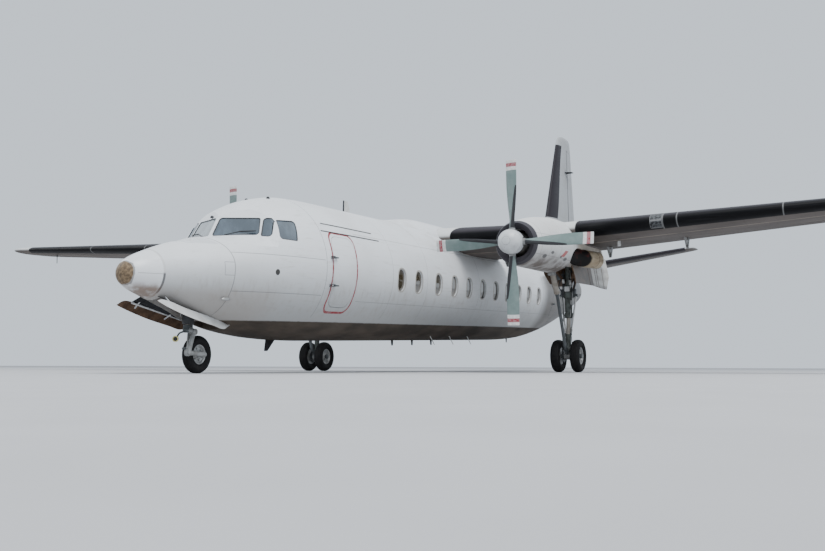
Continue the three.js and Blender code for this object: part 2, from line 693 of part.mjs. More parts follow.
function noseFork() {
  return join(...Object.values(NOSE_FORK_RODS).map((row) => legRod(row, 0)));
}

// Nose gear door: a strip that hangs below the edge of the bay on two arms
// x, height of its upper and lower edge
const NOSE_DOOR_ROWS = [[11235, -745, -790], [11150, -722, -822], [10500, -855, -1005], [9950, -965, -1120],
  [9660, -1035, -1178], [9480, -1085, -1110]];
const NOSE_DOOR = { upperY: 360, lowerY: 450, thick: 16, armX: [10880, 10150], armRadius: 14, armTop: 360 };

function noseDoor() {
  const { upperY, lowerY, thick, armX, armRadius, armTop } = NOSE_DOOR;
  const leaf = loft(NOSE_DOOR_ROWS.map(([x, upper, lower]) => {
    const edge = [[upperY, upper], [lowerY, lower], [lowerY + thick, lower], [upperY + thick, upper]];
    return edge.map(([y, z]) => new THREE.Vector3(x, y, z));
  }));
  const arms = armX.map((x) => {
    const [, upper, lower] = rowAt(NOSE_DOOR_ROWS, x);
    const middle = (upper + lower) / 2;
    return rod([x, (upperY + lowerY + thick) / 2, middle], [x, upperY, middle + armTop], armRadius, 8);
  });
  const skin = bodyLoft(GAP);
  return largest(join(leaf, ...arms).subtract(skin).subtract(mirrored(skin)));
}

// Cockpit windows: front and corner panes as outlines in front view (y, z), the aft one in side view (x, z)
const GLASS_THICK = 30;
const PANE_BACK = 8735;
const WINDSCREEN = [[50, 470], [745, 490], [655, 795], [50, 800]];
const CORNER_PANE = [[800, 465], [948, 461], [864, 795], [720, 795]];
const AFT_PANE = [[8860, 420], [8684, 762], [8274, 779], [8453, 409]];

// Cabin doors: middle x, half length, bottom, top, and side
const DOORS = {
  door_front_port: { x: 7000, half: 430, bottom: -830, top: 640, side: 1 },
  door_rear_port: { x: -6450, half: 400, bottom: -800, top: 780, side: 1 },
  door_rear_starboard: { x: -6450, half: 330, bottom: -560, top: 700, side: -1 },
};
const DOOR = { thick: 60, corner: 170, bevel: 0.34, gap: 8, hingeOut: 34, pin: 9, outY: 1500, inY: 700 };
const LUG = { back: 18, front: 60, half: 22, slotHalf: 14, tongueHalf: 12, tongueReach: 140, hingeShares: [0.32, 0.68] };

// Door outline with round corners, drawn in by inset
function doorOutline({ half, bottom, top }, inset) {
  const r = DOOR.corner;
  const w = half - inset;
  const [lo, hi] = [bottom + inset, top - inset];
  const shape = new THREE.Shape();
  shape.moveTo(-w + r, lo);
  shape.lineTo(w - r, lo);
  shape.absarc(w - r, lo + r, r, -Math.PI / 2, 0);
  shape.absarc(w - r, hi - r, r, 0, Math.PI / 2);
  shape.absarc(-w + r, hi - r, r, Math.PI / 2, Math.PI);
  shape.absarc(-w + r, lo + r, r, Math.PI, 1.5 * Math.PI);
  return shape.getPoints(2).slice(0, -1);
}

function doorWedge(door, inset) {
  const skinY = rowAt(BODY_ROWS, door.x)[1];
  const ring = (y) => doorOutline(door, inset + (skinY - y) * DOOR.bevel).map(
    (p) => new THREE.Vector3(door.x + p.x, y, p.y));
  return loft([ring(DOOR.outY), ring(DOOR.inY)]);
}

function bodyHalfWidthAt(x, z) {
  const [, half, top, bottom, wide] = rowAt(BODY_ROWS, x);
  const rise = z > wide ? top - wide : wide - bottom;
  return half * Math.sqrt(Math.max(0, 1 - ((z - wide) / rise) ** 2));
}

function hingeLine(door) {
  const x = door.x + door.half + 30;
  const y = rowAt(BODY_ROWS, x)[1] + DOOR.hingeOut;
  return { x, y };
}

// Returns the body with the doorway cut and hinge pins added, and the door itself
function cabinDoor(body, shell, core, door) {
  const { x, y } = hingeLine(door);
  const doorway = doorWedge(door, 0).subtract(core);
  const panel = doorWedge(door, DOOR.gap).intersect(shell).subtract(doorCore(GAP));
  let fixed = body.subtract(doorway);
  let leaf = panel;
  LUG.hingeShares.forEach((share) => {
    const z = door.bottom + share * (door.top - door.bottom);
    fixed = fixed.add(hingeEars(door, x, y, z));
    leaf = leaf.add(hingeTongue(x, y, z));
  });
  return { fixed, leaf };
}

function hingeEars(door, x, y, z) {
  const skin = bodyHalfWidthAt(door.x + door.half, z);
  const { back, front, half, slotHalf } = LUG;
  const block = box(x - back, x + front, skin - 20, y + 16, z - half, z + half);
  const slot = box(x - 30, x + 26, skin - 40, y + 30, z - slotHalf, z + slotHalf);
  const pin = rod([x, y, z - half + 2], [x, y, z + half - 2], DOOR.pin);
  return block.subtract(slot).add(pin);
}

function hingeTongue(x, y, z) {
  const { tongueReach, tongueHalf: t } = LUG;
  const root = bodyHalfWidthAt(x - 110, z);
  const bar = box(x - tongueReach, x + 16, y - t, y + t, z - t, z + t);
  const foot = box(x - tongueReach, x - 82, root - 30, y + t, z - t, z + t);
  return bar.add(foot).subtract(rod([x, y, z - t], [x, y, z + t], turningBore(DOOR.pin, 10)));
}

function doorCore(grow) {
  return bodyLoft(-DOOR.thick + grow);
}

// Tail surfaces: span station rows [span, leading edge x, chord, height or depth of leading edge, thickness]
const TAILPLANE = { rootY: 0, tipY: 4875, leadRoot: -9450, leadTip: -10230, trailRoot: -11720, trailTip: -11330,
  z: 969, dihedral: 0.1416, thick: 0.12, tipStart: 4560 };
const FIN = { foot: 1000, top: 6110, leadAt: 2943, leadX: -9500, sweep: 0.45, trailAt: 3300, trailX: -12800,
  trailLean: 0.14, thick: 0.11, tipStart: 5700 };
const ELEVATOR = { y0: 700, y1: 4500, share: 0.66, swing: 25 };
const RUDDER = { z0: 1290, z1: 5640, rootShare: 0.69, topShare: 0.6, swing: 25 };

function tailplaneAt(y, grow = 0) {
  const s = y / TAILPLANE.tipY;
  const lead = TAILPLANE.leadRoot + (TAILPLANE.leadTip - TAILPLANE.leadRoot) * s;
  const trail = TAILPLANE.trailRoot + (TAILPLANE.trailTip - TAILPLANE.trailRoot) * s;
  return { x: lead + grow, z: TAILPLANE.z + TAILPLANE.dihedral * y, chord: lead - trail + 2 * grow,
    thick: TAILPLANE.thick + (2 * grow) / (lead - trail), camber: 0, twist: 0 };
}

function trimmed(section, left) {
  const cut = section.chord * (1 - left);
  return { ...section, x: section.x - cut * 0.7, chord: section.chord - cut, thick: section.thick * left };
}

function tailplaneLoft(y0, grow = 0) {
  const place = (y) => (x, z) => new THREE.Vector3(x, y, z);
  const tip = TAILPLANE.tipY - TAILPLANE.tipStart;
  const rows = [[0, 1], [0.5, 0.95], [0.85, 0.8], [1, 0.55]];
  const rings = [sectionRing(place(y0), tailplaneAt(y0, grow), 9)];
  rows.forEach(([share, left]) => {
    const y = TAILPLANE.tipStart + share * tip;
    rings.push(sectionRing(place(y), trimmed(tailplaneAt(y, grow), left), 9));
  });
  return loft(rings);
}

function tailplaneHinge(y) {
  const { x, z, chord, thick } = tailplaneAt(y);
  const t = ELEVATOR.share;
  return { point: [x - t * chord, y, z], radius: thick * chord * depthShare(t) * NOSE_FILL };
}

// The fin is drawn lying along +Y as if it were a wing, then turned upright
function finAt(z, grow = 0) {
  const lead = FIN.leadX - (z - FIN.leadAt) * FIN.sweep;
  const trail = FIN.trailX + (z - FIN.trailAt) * FIN.trailLean;
  return { x: lead + grow, z: 0, chord: lead - trail + 2 * grow, thick: FIN.thick, camber: 0, twist: 0 };
}

function finLoft() {
  const place = (y) => (x, z) => new THREE.Vector3(x, y, z);
  const rows = [[0, 1], [0.5, 0.96], [0.85, 0.84], [1, 0.6]];
  const rings = [sectionRing(place(FIN.foot), finAt(FIN.foot), 9)];
  rows.forEach(([share, left]) => {
    const z = FIN.tipStart + share * (FIN.top - FIN.tipStart);
    rings.push(sectionRing(place(z), trimmed(finAt(z), left), 9));
  });
  return loft(rings);
}

function finHinge(z) {
  const { x, chord, thick } = finAt(z);
  const root = finAt(RUDDER.z0);
  const hingeRoot = root.x - root.chord * RUDDER.rootShare;
  const top = finAt(RUDDER.z1);
  const hingeTop = top.x - top.chord * RUDDER.topShare;
  const s = (z - RUDDER.z0) / (RUDDER.z1 - RUDDER.z0);
  const hingeX = hingeRoot + (hingeTop - hingeRoot) * s;
  const t = (x - hingeX) / chord;
  return { point: [hingeX, z, 0], radius: thick * chord * depthShare(t) * NOSE_FILL };
}

function upright(solid) {
  return toSolid(toGeometry(solid).rotateX(Math.PI / 2));
}

function dorsal() {
  // x, height of the ridge, half width at the foot
  const rows = [[-4300, 1410, 40], [-6300, 1720, 110], [-8000, 2120, 170], [-9200, 2700, 200],
    [-9570, 2960, 200], [-10050, 2700, 180]];
  return loft(rows.map(([x, ridge, half]) => {
    const foot = rowAt(BODY_ROWS, x)[2] - 120;
    return [
      new THREE.Vector3(x, half, foot), new THREE.Vector3(x, 14, ridge),
      new THREE.Vector3(x, -14, ridge), new THREE.Vector3(x, -half, foot),
    ];
  }));
}

// Wing root fairing over the cabin roof: x, half width, top
function roofFairing() {
  const rows = [[3500, 60, 1405], [2800, 460, 1470], [1700, 860, 1590], [-600, 900, 1560], [-3000, 300, 1415]];
  return loft(rows.map(([x, half, top]) => ovalRing(x, half, top, 700, 900, 0, 16)));
}

// Materials
const paint = (color, roughness, metalness = 0.1) => new THREE.MeshStandardMaterial({ color, roughness, metalness });
const WHITE = paint(0xd9dcdd, 0.45);
const GREY = paint(0x9a9fa1, 0.5);
const GLASS = paint(0x2b3742, 0.15);
const RUBBER = paint(0x17181a, 0.9, 0);
const BARE = paint(0x8b8e90, 0.4, 0.7);
const SOOT = paint(0x2a211d, 0.8, 0.3);
const BLADE = paint(0x7d8b8a, 0.5);

const aircraft = new THREE.Group();
aircraft.position.set(MAIN_GEAR_X, 0, AXIS_HEIGHT);
aircraft.rotation.y = PITCH;

function add(name, shape, material) {
  const geometry = shape instanceof THREE.BufferGeometry ? shape : toGeometry(shape);
  const mesh = new THREE.Mesh(geometry, material);
  mesh.name = name;
  aircraft.add(mesh);
}

function addPair(name, solid, material, suffix = '') {
  add(`${name}_port${suffix}`, solid, material);
  add(`${name}_starboard${suffix}`, mirrored(solid), material);
}

// Body, with everything that is cut from it
function outlinePrism(outline, place) {
  return loft([0, 1].map((end) => outline.map(([a, b]) => place(a, b, end))));
}

// Panes as pieces of the skin, and the pockets that they leave in the body
function glazing() {
  const shell = noseForm(0);
  const core = noseForm(-GLASS_THICK);
  const coreGap = noseForm(-GLASS_THICK + GAP);
  const wider = (outline, mm) => {
    const middle = (k) => outline.reduce((sum, p) => sum + p[k], 0) / outline.length;
    return outline.map((p) => [0, 1].map((k) => p[k] + Math.sign(p[k] - middle(k)) * mm));
  };
  const ahead = (outline, back) => outlinePrism(outline, (y, z, end) => new THREE.Vector3(back + end * 1100, y, z));
  const beside = (outline) => outlinePrism(outline, (x, z, end) => new THREE.Vector3(x, 700 + end * 900, z));
  const panes = [['windscreen', WINDSCREEN, ahead], ['side_window_1', CORNER_PANE, ahead],
    ['side_window_2', AFT_PANE, beside]];
  const parts = panes.map(([name, outline, prism]) => [name,
    prism(outline, PANE_BACK).intersect(shell).subtract(coreGap)]);
  const pockets = panes.map(([, outline, prism]) => prism(wider(outline, GAP), PANE_BACK - GAP).subtract(core));
  return { parts, pocket: join(...pockets) };
}

const glass = glazing();
const wingBoxGrown = symmetric(wingLoft(0, WING.outerJoint, GAP));
const tailGrown = tailplaneLoft(0, GAP);

function buildBody() {
  const ends = box(REAR_BODY_X, RADOME_X - GAP / 2, -2000, 2000, -2000, 2000);
  let body = noseForm(0).intersect(ends).add(roofFairing());
  body = body.subtract(glass.pocket).subtract(mirrored(glass.pocket));
  body = body.subtract(wingBoxGrown);
  const bay = box(NOSE_BAY.x0, NOSE_BAY.x1, -NOSE_BAY.half, NOSE_BAY.half, -2000, NOSE_BAY.top);
  body = body.subtract(bay);
  const [jackX, jackZ] = NOSE_JACK;
  body = body.add(box(jackX - PAD_HALF, jackX + PAD_HALF, -PAD_HALF, PAD_HALF, jackZ, jackZ + 200));
  const shell = bodyLoft(0);
  const core = doorCore(0);
  const leaves = {};
  Object.entries(DOORS).forEach(([name, door]) => {
    if (door.side < 0) body = mirrored(body);
    const made = cabinDoor(body, shell, core, door);
    body = door.side < 0 ? mirrored(made.fixed) : made.fixed;
    leaves[name] = door.side < 0 ? mirrored(made.leaf) : made.leaf;
  });
  return { body, leaves };
}

const { body, leaves } = buildBody();
const bodyGrown = bodyLoft(GAP);
const rudderCut = hingedAlongSpan(finLoft(), finLoft(), RUDDER.z0, RUDDER.z1, finHinge, RUDDER.swing);
const finFixed = upright(rudderCut.fixed).add(dorsal()).subtract(bodyGrown).subtract(tailGrown)
  .subtract(mirrored(tailGrown));
add('fuselage', largest(body), WHITE);
const rearEnd = box(TAIL_X - 100, REAR_BODY_X - GAP, -2000, 2000, -2000, 2000);
const rear = bodyLoft(0).intersect(rearEnd).subtract(tailGrown).subtract(mirrored(tailGrown));
add('rear_fuselage', largest(rear), WHITE);
add('radome', bodyLoft(0, NOSE_X, RADOME_X + GAP / 2), WHITE);
glass.parts.forEach(([name, solid]) => addPair(name, solid, GLASS));
Object.entries(leaves).forEach(([name, solid]) => add(name, solid, WHITE));
add('fin', largest(finFixed), WHITE);
add('rudder', upright(rudderCut.moving), WHITE);

const tailWhole = tailplaneLoft(0);
const tailCut = hingedAlongSpan(tailWhole, tailWhole, ELEVATOR.y0, ELEVATOR.y1, tailplaneHinge, ELEVATOR.swing);
const centreLine = box(-14000, -8000, GAP / 2, 9000, 0, 4000);
addPair('tailplane', tailCut.fixed.intersect(centreLine), WHITE);
addPair('elevator', tailCut.moving, WHITE);

const outer = outerWing();
addPair('wing', outer.wing, WHITE);
addPair('aileron', outer.aileron, WHITE);
addPair('flap_outer', outer.flap, WHITE);
const centre = centreWing();
add('wing_centre', centre.wing, WHITE);
addPair('flap_inner', centre.flap, WHITE);

addPair('nacelle', nacelle(wingBoxGrown, legTopBlock(GAP), strutTopBlock(GAP)), WHITE);
addPair('engine', engine(), BARE);
addPair('exhaust', pipe(exhaustPath(), EXHAUST.radius, EXHAUST.inner), SOOT);
[['port', 1], ['starboard', -1]].forEach(([side, sign]) => {
  add(`propeller_${side}`, propeller(sign * NACELLE.y), BLADE);
  add(`spinner_${side}`, spinner(sign * NACELLE.y), GREY);
});

addPair('main_leg', mainLeg(), BARE);
[['outer', 1], ['inner', -1]].forEach(([place, s]) => {
  const y = NACELLE.y + s * MAIN_WHEEL.halfSpacing;
  addPair(`main_tyre_${place}`, tyre(MAIN_WHEEL, AXLE.x, y, AXLE.z), RUBBER);
  addPair(`main_rim_${place}`, rimSolid(MAIN_WHEEL, AXLE.x, y, AXLE.z, s), BARE);
  addPair(`main_door_${place}`, mainDoor(s), WHITE);
});

add('nose_leg', noseLeg(), BARE);
add('nose_fork', noseFork(), BARE);
add('nose_rim', rimSolid(NOSE_WHEEL, NOSE_AXLE.x, 0, NOSE_AXLE.z, 1), BARE);
add('nose_tyre', tyre(NOSE_WHEEL, NOSE_AXLE.x, 0, NOSE_AXLE.z), RUBBER);
addPair('nose_door', noseDoor(), WHITE);

export default aircraft;
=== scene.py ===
# Twin-engined high-wing turboprop airliner on its gear: finish, fine shapes, floor, light and camera.
import math

import bmesh
import bpy
from mathutils import Matrix, Vector
from mathutils.bvhtree import BVHTree
from mathutils.interpolate import poly_3d_calc


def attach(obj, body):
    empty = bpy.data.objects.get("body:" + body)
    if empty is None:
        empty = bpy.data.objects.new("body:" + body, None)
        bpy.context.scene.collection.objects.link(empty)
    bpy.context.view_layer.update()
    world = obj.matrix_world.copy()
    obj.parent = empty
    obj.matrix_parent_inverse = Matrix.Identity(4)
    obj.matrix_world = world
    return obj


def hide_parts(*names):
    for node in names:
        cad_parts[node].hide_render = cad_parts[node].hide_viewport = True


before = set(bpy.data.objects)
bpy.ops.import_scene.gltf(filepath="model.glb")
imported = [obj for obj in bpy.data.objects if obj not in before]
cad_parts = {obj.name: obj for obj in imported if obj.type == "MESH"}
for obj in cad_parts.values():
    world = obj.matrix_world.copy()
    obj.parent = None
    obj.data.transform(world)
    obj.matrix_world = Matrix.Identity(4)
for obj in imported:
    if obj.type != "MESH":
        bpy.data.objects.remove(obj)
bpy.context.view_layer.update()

# The airframe frame: +X along the cabin axis, origin on that axis above the main wheels, nose down by PITCH
PITCH = math.radians(1.6)
MAIN_GEAR_X = 0.88
AXIS_HEIGHT = 2.205
PLACE = Matrix.Translation((MAIN_GEAR_X, 0, AXIS_HEIGHT)) @ Matrix.Rotation(PITCH, 4, "Y")
SIDES = {"port": 1, "starboard": -1}

# Body sections in metres: x, half width, top, bottom, height of the widest line
NOSE_X = 11.663
TAIL_X = -13.426
RADOME_X = 11.05
BODY_ROWS = [
    (NOSE_X, 0.008, -0.311, -0.327, -0.319),
    (11.64, 0.095, -0.226, -0.408, -0.318),
    (11.56, 0.19, -0.125, -0.5, -0.31),
    (11.4, 0.275, -0.028, -0.578, -0.292),
    (11.05, 0.385, 0.1, -0.69, -0.27),
    (10.5, 0.62, 0.262, -0.85, -0.225),
    (9.9, 0.9, 0.4, -1.045, -0.15),
    (9.46, 1.055, 0.62, -1.155, -0.11),
    (9.18, 1.13, 0.86, -1.215, -0.08),
    (9.04, 1.16, 0.945, -1.237, -0.065),
    (8.85, 1.2, 1.06, -1.265, -0.05),
    (8.3, 1.275, 1.255, -1.325, -0.02),
    (7.6, 1.33, 1.375, -1.365, 0.0),
    (6.7, 1.35, 1.4, -1.385, 0.0),
    (3.0, 1.35, 1.4, -1.39, 0.0),
    (-3.7, 1.35, 1.4, -1.39, 0.0),
    (-5.2, 1.335, 1.4, -1.35, 0.01),
    (-6.6, 1.255, 1.395, -1.205, 0.06),
    (-8.1, 1.075, 1.365, -0.965, 0.15),
    (-9.6, 0.84, 1.3, -0.68, 0.28),
    (-11.0, 0.59, 1.18, -0.39, 0.38),
    (-12.3, 0.34, 0.985, -0.09, 0.45),
    (-13.1, 0.165, 0.73, 0.14, 0.44),
    (TAIL_X, 0.03, 0.45, 0.36, 0.405),
]

# Top of the nose below and beside the cockpit windows: x, top
BROW_TOPS = {9.46: 0.46, 9.18: 0.575, 9.04: 0.645, 8.85: 0.84, 8.3: 1.1}
# Planes of the front and corner windows: x = at - side * |y| - rise * z
WINDOW_PLANES = [{"at": 9.796, "side": 0.5585, "rise": 0.7007}, {"at": 9.857, "side": 0.6279, "rise": 0.7164}]
BROW_FOOT = 0.25

# Nacelle sections: x, half width, top, bottom
NACELLE_Y = 3.6
HUB = (3.893, NACELLE_Y, 0.654)
NACELLE_ROWS = [
    (3.74, 0.425, 1.082, 0.226),
    (3.64, 0.468, 1.128, 0.19),
    (3.4, 0.52, 1.185, 0.178),
    (2.45, 0.585, 1.345, 0.168),
    (1.4, 0.6, 1.42, 0.16),
    (0.0, 0.6, 1.4, 0.165),
    (-1.1, 0.545, 1.27, 0.235),
    (-1.9, 0.4, 1.09, 0.4),
    (-2.4, 0.23, 0.95, 0.56),
    (-2.7, 0.04, 0.8, 0.72),
]

# Wing, as in the solids
HALF_SPAN = 14.5
WING_TIP_START = 13.6
WING = {"root_chord": 3.45, "tip_chord": 1.4, "quarter_x": 0.66, "root_z": 0.968, "dihedral": 0.0443,
        "level_to": 3.6, "root_thick": 0.2, "tip_thick": 0.15, "camber": 0.02, "root_twist": 5.6, "tip_twist": 4.0}
OUTER_JOINT = 4.29
GAP = 0.0003
RUNNING_GAP = 0.008


def place_in_world(mesh):
    mesh.transform(PLACE)
    return mesh


def row_at(rows, x):
    """Monotone curve through the rows, at x."""
    i = 0
    while i < len(rows) - 2 and x < rows[i + 1][0]:
        i += 1
    span = rows[i + 1][0] - rows[i][0]
    t = (x - rows[i][0]) / span

    def slope(a, b, k):
        return (rows[b][k] - rows[a][k]) / (rows[b][0] - rows[a][0])

    values = [x]
    for k in range(1, len(rows[i])):
        here = slope(i, i + 1, k)
        before = slope(i - 1, i, k) if i > 0 else here
        after = slope(i + 1, i + 2, k) if i < len(rows) - 2 else here
        start = 2 * before * here / (before + here) if before * here > 0 else 0
        end = 2 * after * here / (after + here) if after * here > 0 else 0
        blend = 2 * t ** 3 - 3 * t ** 2 + 1
        values.append(blend * rows[i][k] + (1 - blend) * rows[i + 1][k]
                      + span * ((t ** 3 - 2 * t ** 2 + t) * start + (t ** 3 - t ** 2) * end))
    return values


# Mesh helpers
def new_object(name, mesh):
    obj = bpy.data.objects.new(name, mesh)
    bpy.context.scene.collection.objects.link(obj)
    return obj


def mesh_from(name, points, faces):
    mesh = bpy.data.meshes.new(name)
    mesh.from_pydata([tuple(p) for p in points], [], faces)
    mesh.validate()
    build = bmesh.new()
    build.from_mesh(mesh)
    bmesh.ops.recalc_face_normals(build, faces=build.faces)
    build.to_mesh(mesh)
    build.free()
    return mesh


def loft_mesh(name, rings, closed=True):
    """Skin over rings of points, with fan caps at both ends."""
    count = len(rings[0])
    points = [p for ring in rings for p in ring]
    faces = []
    last = count if closed else count - 1
    for i in range(len(rings) - 1):
        for j in range(last):
            k = (j + 1) % count
            faces.append((i * count + j, i * count + k, (i + 1) * count + k, (i + 1) * count + j))
    if closed:
        for ring, start in ((rings[0], 0), (rings[-1], (len(rings) - 1) * count)):
            middle = sum((Vector(p) for p in ring), Vector()) / count
            points.append(middle)
            faces += [(start + j, start + (j + 1) % count, len(points) - 1) for j in range(count)]
    return mesh_from(name, points, faces)


def loft(name, rings):
    return new_object(name, loft_mesh(name, rings))


def block(name, corner_low, corner_high):
    (x0, y0, z0), (x1, y1, z1) = corner_low, corner_high
    rings = [[(x, y0, z0), (x, y1, z0), (x, y1, z1), (x, y0, z1)] for x in (x0, x1)]
    return loft(name, rings)


def basis(direction):
    axis = Vector(direction).normalized()
    helper = Vector((0, 0, 1)) if abs(axis.z) < 0.9 else Vector((1, 0, 0))
    across = axis.cross(helper).normalized()
    return axis, across, axis.cross(across)


def round_ring(centre, across, up, r, sides):
    angles = [2 * math.pi * j / sides for j in range(sides)]
    return [centre + across * r * math.cos(a) + up * r * math.sin(a) for a in angles]


def rod(name, start, end, radius, sides=24, end_radius=None):
    end_radius = radius if end_radius is None else end_radius
    start, end = Vector(start), Vector(end)
    _, across, up = basis(end - start)
    ends = ((start, radius), (end, end_radius))
    return loft(name, [round_ring(centre, across, up, r, sides) for centre, r in ends])


def lathe(name, profile, centre, direction, sides=48):
    """Turned solid: profile rows are [along, radius] from the centre along the direction."""
    axis, across, up = basis(direction)
    centre = Vector(centre)
    rings = []
    for along, r in profile:
        angles = [2 * math.pi * j / sides for j in range(sides)]
        rings.append([centre + axis * along + (across * math.cos(a) + up * math.sin(a)) * max(r, 1e-4)
                      for a in angles])
    return loft(name, rings)


def tube(name, points, radius, sides=12, steps=6):
    """Round tube along a smooth line through the points."""
    line = smooth_line([Vector(p) for p in points], steps)
    rings = []
    _, across, up = basis(line[1] - line[0])
    for i, centre in enumerate(line):
        ahead = line[min(i + 1, len(line) - 1)] - line[max(i - 1, 0)]
        ahead.normalize()
        across = (across - ahead * across.dot(ahead)).normalized()
        up = ahead.cross(across)
        rings.append(round_ring(centre, across, up, radius, sides))
    return loft(name, rings)


def smooth_line(points, steps):
    """Catmull-Rom line through the points."""
    if len(points) < 3:
        return points
    ends = [points[0] * 2 - points[1]] + points + [points[-1] * 2 - points[-2]]
    line = []
    for i in range(1, len(ends) - 2):
        a, b, c, d = ends[i - 1:i + 3]
        for k in range(steps):
            t = k / steps
            line.append(0.5 * (2 * b + (c - a) * t + (2 * a - 5 * b + 4 * c - d) * t * t
                               + (3 * b - a - 3 * c + d) * t ** 3))
    return line + [points[-1]]


def bake(obj):
    """Applies an object's modifiers to its mesh."""
    depsgraph = bpy.context.evaluated_depsgraph_get()
    mesh = bpy.data.meshes.new_from_object(obj.evaluated_get(depsgraph))
    obj.modifiers.clear()
    old = obj.data
    obj.data = mesh
    bpy.data.meshes.remove(old)
    return obj


def remove(obj):
    mesh = obj.data
    bpy.data.objects.remove(obj)
    bpy.data.meshes.remove(mesh)


def copy_of(obj, name):
    return new_object(name, obj.data.copy())


def boolean(target, tool, operation="DIFFERENCE", keep_tool=False):
    modifier = target.modifiers.new("cut", "BOOLEAN")
    modifier.operation = operation
    modifier.solver = "MANIFOLD"
    modifier.object = tool
    bake(target)
    if not keep_tool:
        remove(tool)
    return target


def join(name, pieces):
    """One object from several, each keeping its own faces."""
    build = bmesh.new()
    for piece in pieces:
        build.from_mesh(piece.data)
        remove(piece)
    mesh = bpy.data.meshes.new(name)
    build.to_mesh(mesh)
    build.free()
    return new_object(name, mesh)


def bevel(obj, width, segments=2, angle=35):
    modifier = obj.modifiers.new("bevel", "BEVEL")
    modifier.width = width
    modifier.segments = segments
    modifier.limit_method = "ANGLE"
    modifier.angle_limit = math.radians(angle)
    return bake(obj)


def smooth(obj, angle=35):
    obj.data.shade_smooth()
    obj.data.set_sharp_from_angle(angle=math.radians(angle))
    return obj


def mirrored(obj, name):
    """The same piece on the other side of the centre plane."""
    other = copy_of(obj, name)
    other.data.transform(Matrix.Scale(-1, 4, (0, 1, 0)))
    other.data.flip_normals()
    return other


class Skin:
    """A smooth closed form whose normals are given back to the pieces cut from it."""

    def __init__(self, name, rings=None, source=None, flat=False):
        self.flat = flat
        self.obj = loft(name, rings) if rings else copy_of(source, name)
        mesh = self.obj.data
        self.points = [v.co.copy() for v in mesh.vertices]
        self.faces = [tuple(p.vertices) for p in mesh.polygons]
        mesh.shade_smooth()
        self.normals = [v.normal.copy() for v in mesh.vertices]
        self.tree = BVHTree.FromPolygons(self.points, self.faces)

    def take(self, name):
        return copy_of(self.obj, name)

    def other_side(self, name):
        flipped = mirrored(self.obj, name + "_flipped")
        skin = Skin(name, source=flipped)
        remove(flipped)
        return skin

    def close(self):
        remove(self.obj)

    def normal_at(self, point):
        nearest, straight, index, distance = self.tree.find_nearest(point)
        if self.flat:
            return straight, distance
        corners = self.faces[index]
        weights = poly_3d_calc([self.points[i] for i in corners], nearest)
        total = Vector()
        for i, weight in zip(corners, weights):
            total += self.normals[i] * weight
        return total.normalized(), distance


def flat_skin(obj):
    skin = Skin(obj.name + "_skin", source=obj, flat=True)
    remove(obj)
    return skin


def dress(obj, skins, walls=lambda centre: 1, depth=0.003, facing=0.6):
    """Smooth normals where a face lies on one of the skins; the rest become walls, with a slot each by place."""
    mesh = obj.data
    mesh.shade_smooth()
    found = [[skin.normal_at(v.co) for v in mesh.vertices] for skin in skins]
    loops = [None] * len(mesh.loops)
    for face in mesh.polygons:
        table = None
        flat = False
        for skin, candidate in zip(skins, found):
            if table is None and all(candidate[i][1] < depth for i in face.vertices):
                along = face.normal.dot(skin.normal_at(face.center)[0])
                if (abs(along) if skin.flat else along) > facing:
                    table = candidate
                    flat = skin.flat
        face.material_index = walls(face.center) if table is None else 0
        for loop in face.loop_indices:
            smooth_here = table is not None and not flat
            loops[loop] = table[mesh.loops[loop].vertex_index][0] if smooth_here else face.normal
    mesh.normals_split_custom_set(loops)
    return obj


def settle(obj, body, materials, nodes=()):
    """Puts a finished piece in the world, with its materials, body and the nodes that it stands for."""
    place_in_world(obj.data)
    obj.data.materials.clear()
    for material in materials:
        obj.data.materials.append(material)
    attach(obj, body)
    if nodes:
        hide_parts(*nodes)
    return obj


def side_of(mesh, face):
    """How far a face looks to port, from the order of its corners."""
    a, b, c = (mesh.vertices[i].co for i in face.vertices[:3])
    return (b - a).cross(c - a).normalized().y


def put(obj, body, material, nodes=(), angle=35):
    """The same for a plain piece: smooth shading, one material."""
    smooth(obj, angle)
    for face in obj.data.polygons:
        face.material_index = 0
    return settle(obj, body, [material], nodes)


# Camera, at floor level, from the photograph
CAMERA_PLACE = (24.036, 10.66, 0.132)
CAMERA_YAW = math.radians(206.03)
CAMERA_PITCH = math.radians(5.333)
CAMERA_ROLL = math.radians(0.178)
CAMERA_LENS = 42.5
SENSOR = 36.0


def make_camera():
    camera = bpy.data.cameras.new("photo_camera")
    camera.lens = CAMERA_LENS
    camera.sensor_width = SENSOR
    camera.sensor_fit = "HORIZONTAL"
    camera.clip_end = 500
    obj = bpy.data.objects.new("photo_camera", camera)
    bpy.context.scene.collection.objects.link(obj)
    ahead = Vector((math.cos(CAMERA_PITCH) * math.cos(CAMERA_YAW), math.cos(CAMERA_PITCH) * math.sin(CAMERA_YAW),
                    math.sin(CAMERA_PITCH)))
    turn = ahead.to_track_quat("-Z", "Y").to_matrix().to_4x4()
    obj.matrix_world = Matrix.Translation(CAMERA_PLACE) @ turn @ Matrix.Rotation(CAMERA_ROLL, 4, "Z")
    bpy.context.scene.camera = obj


make_camera()


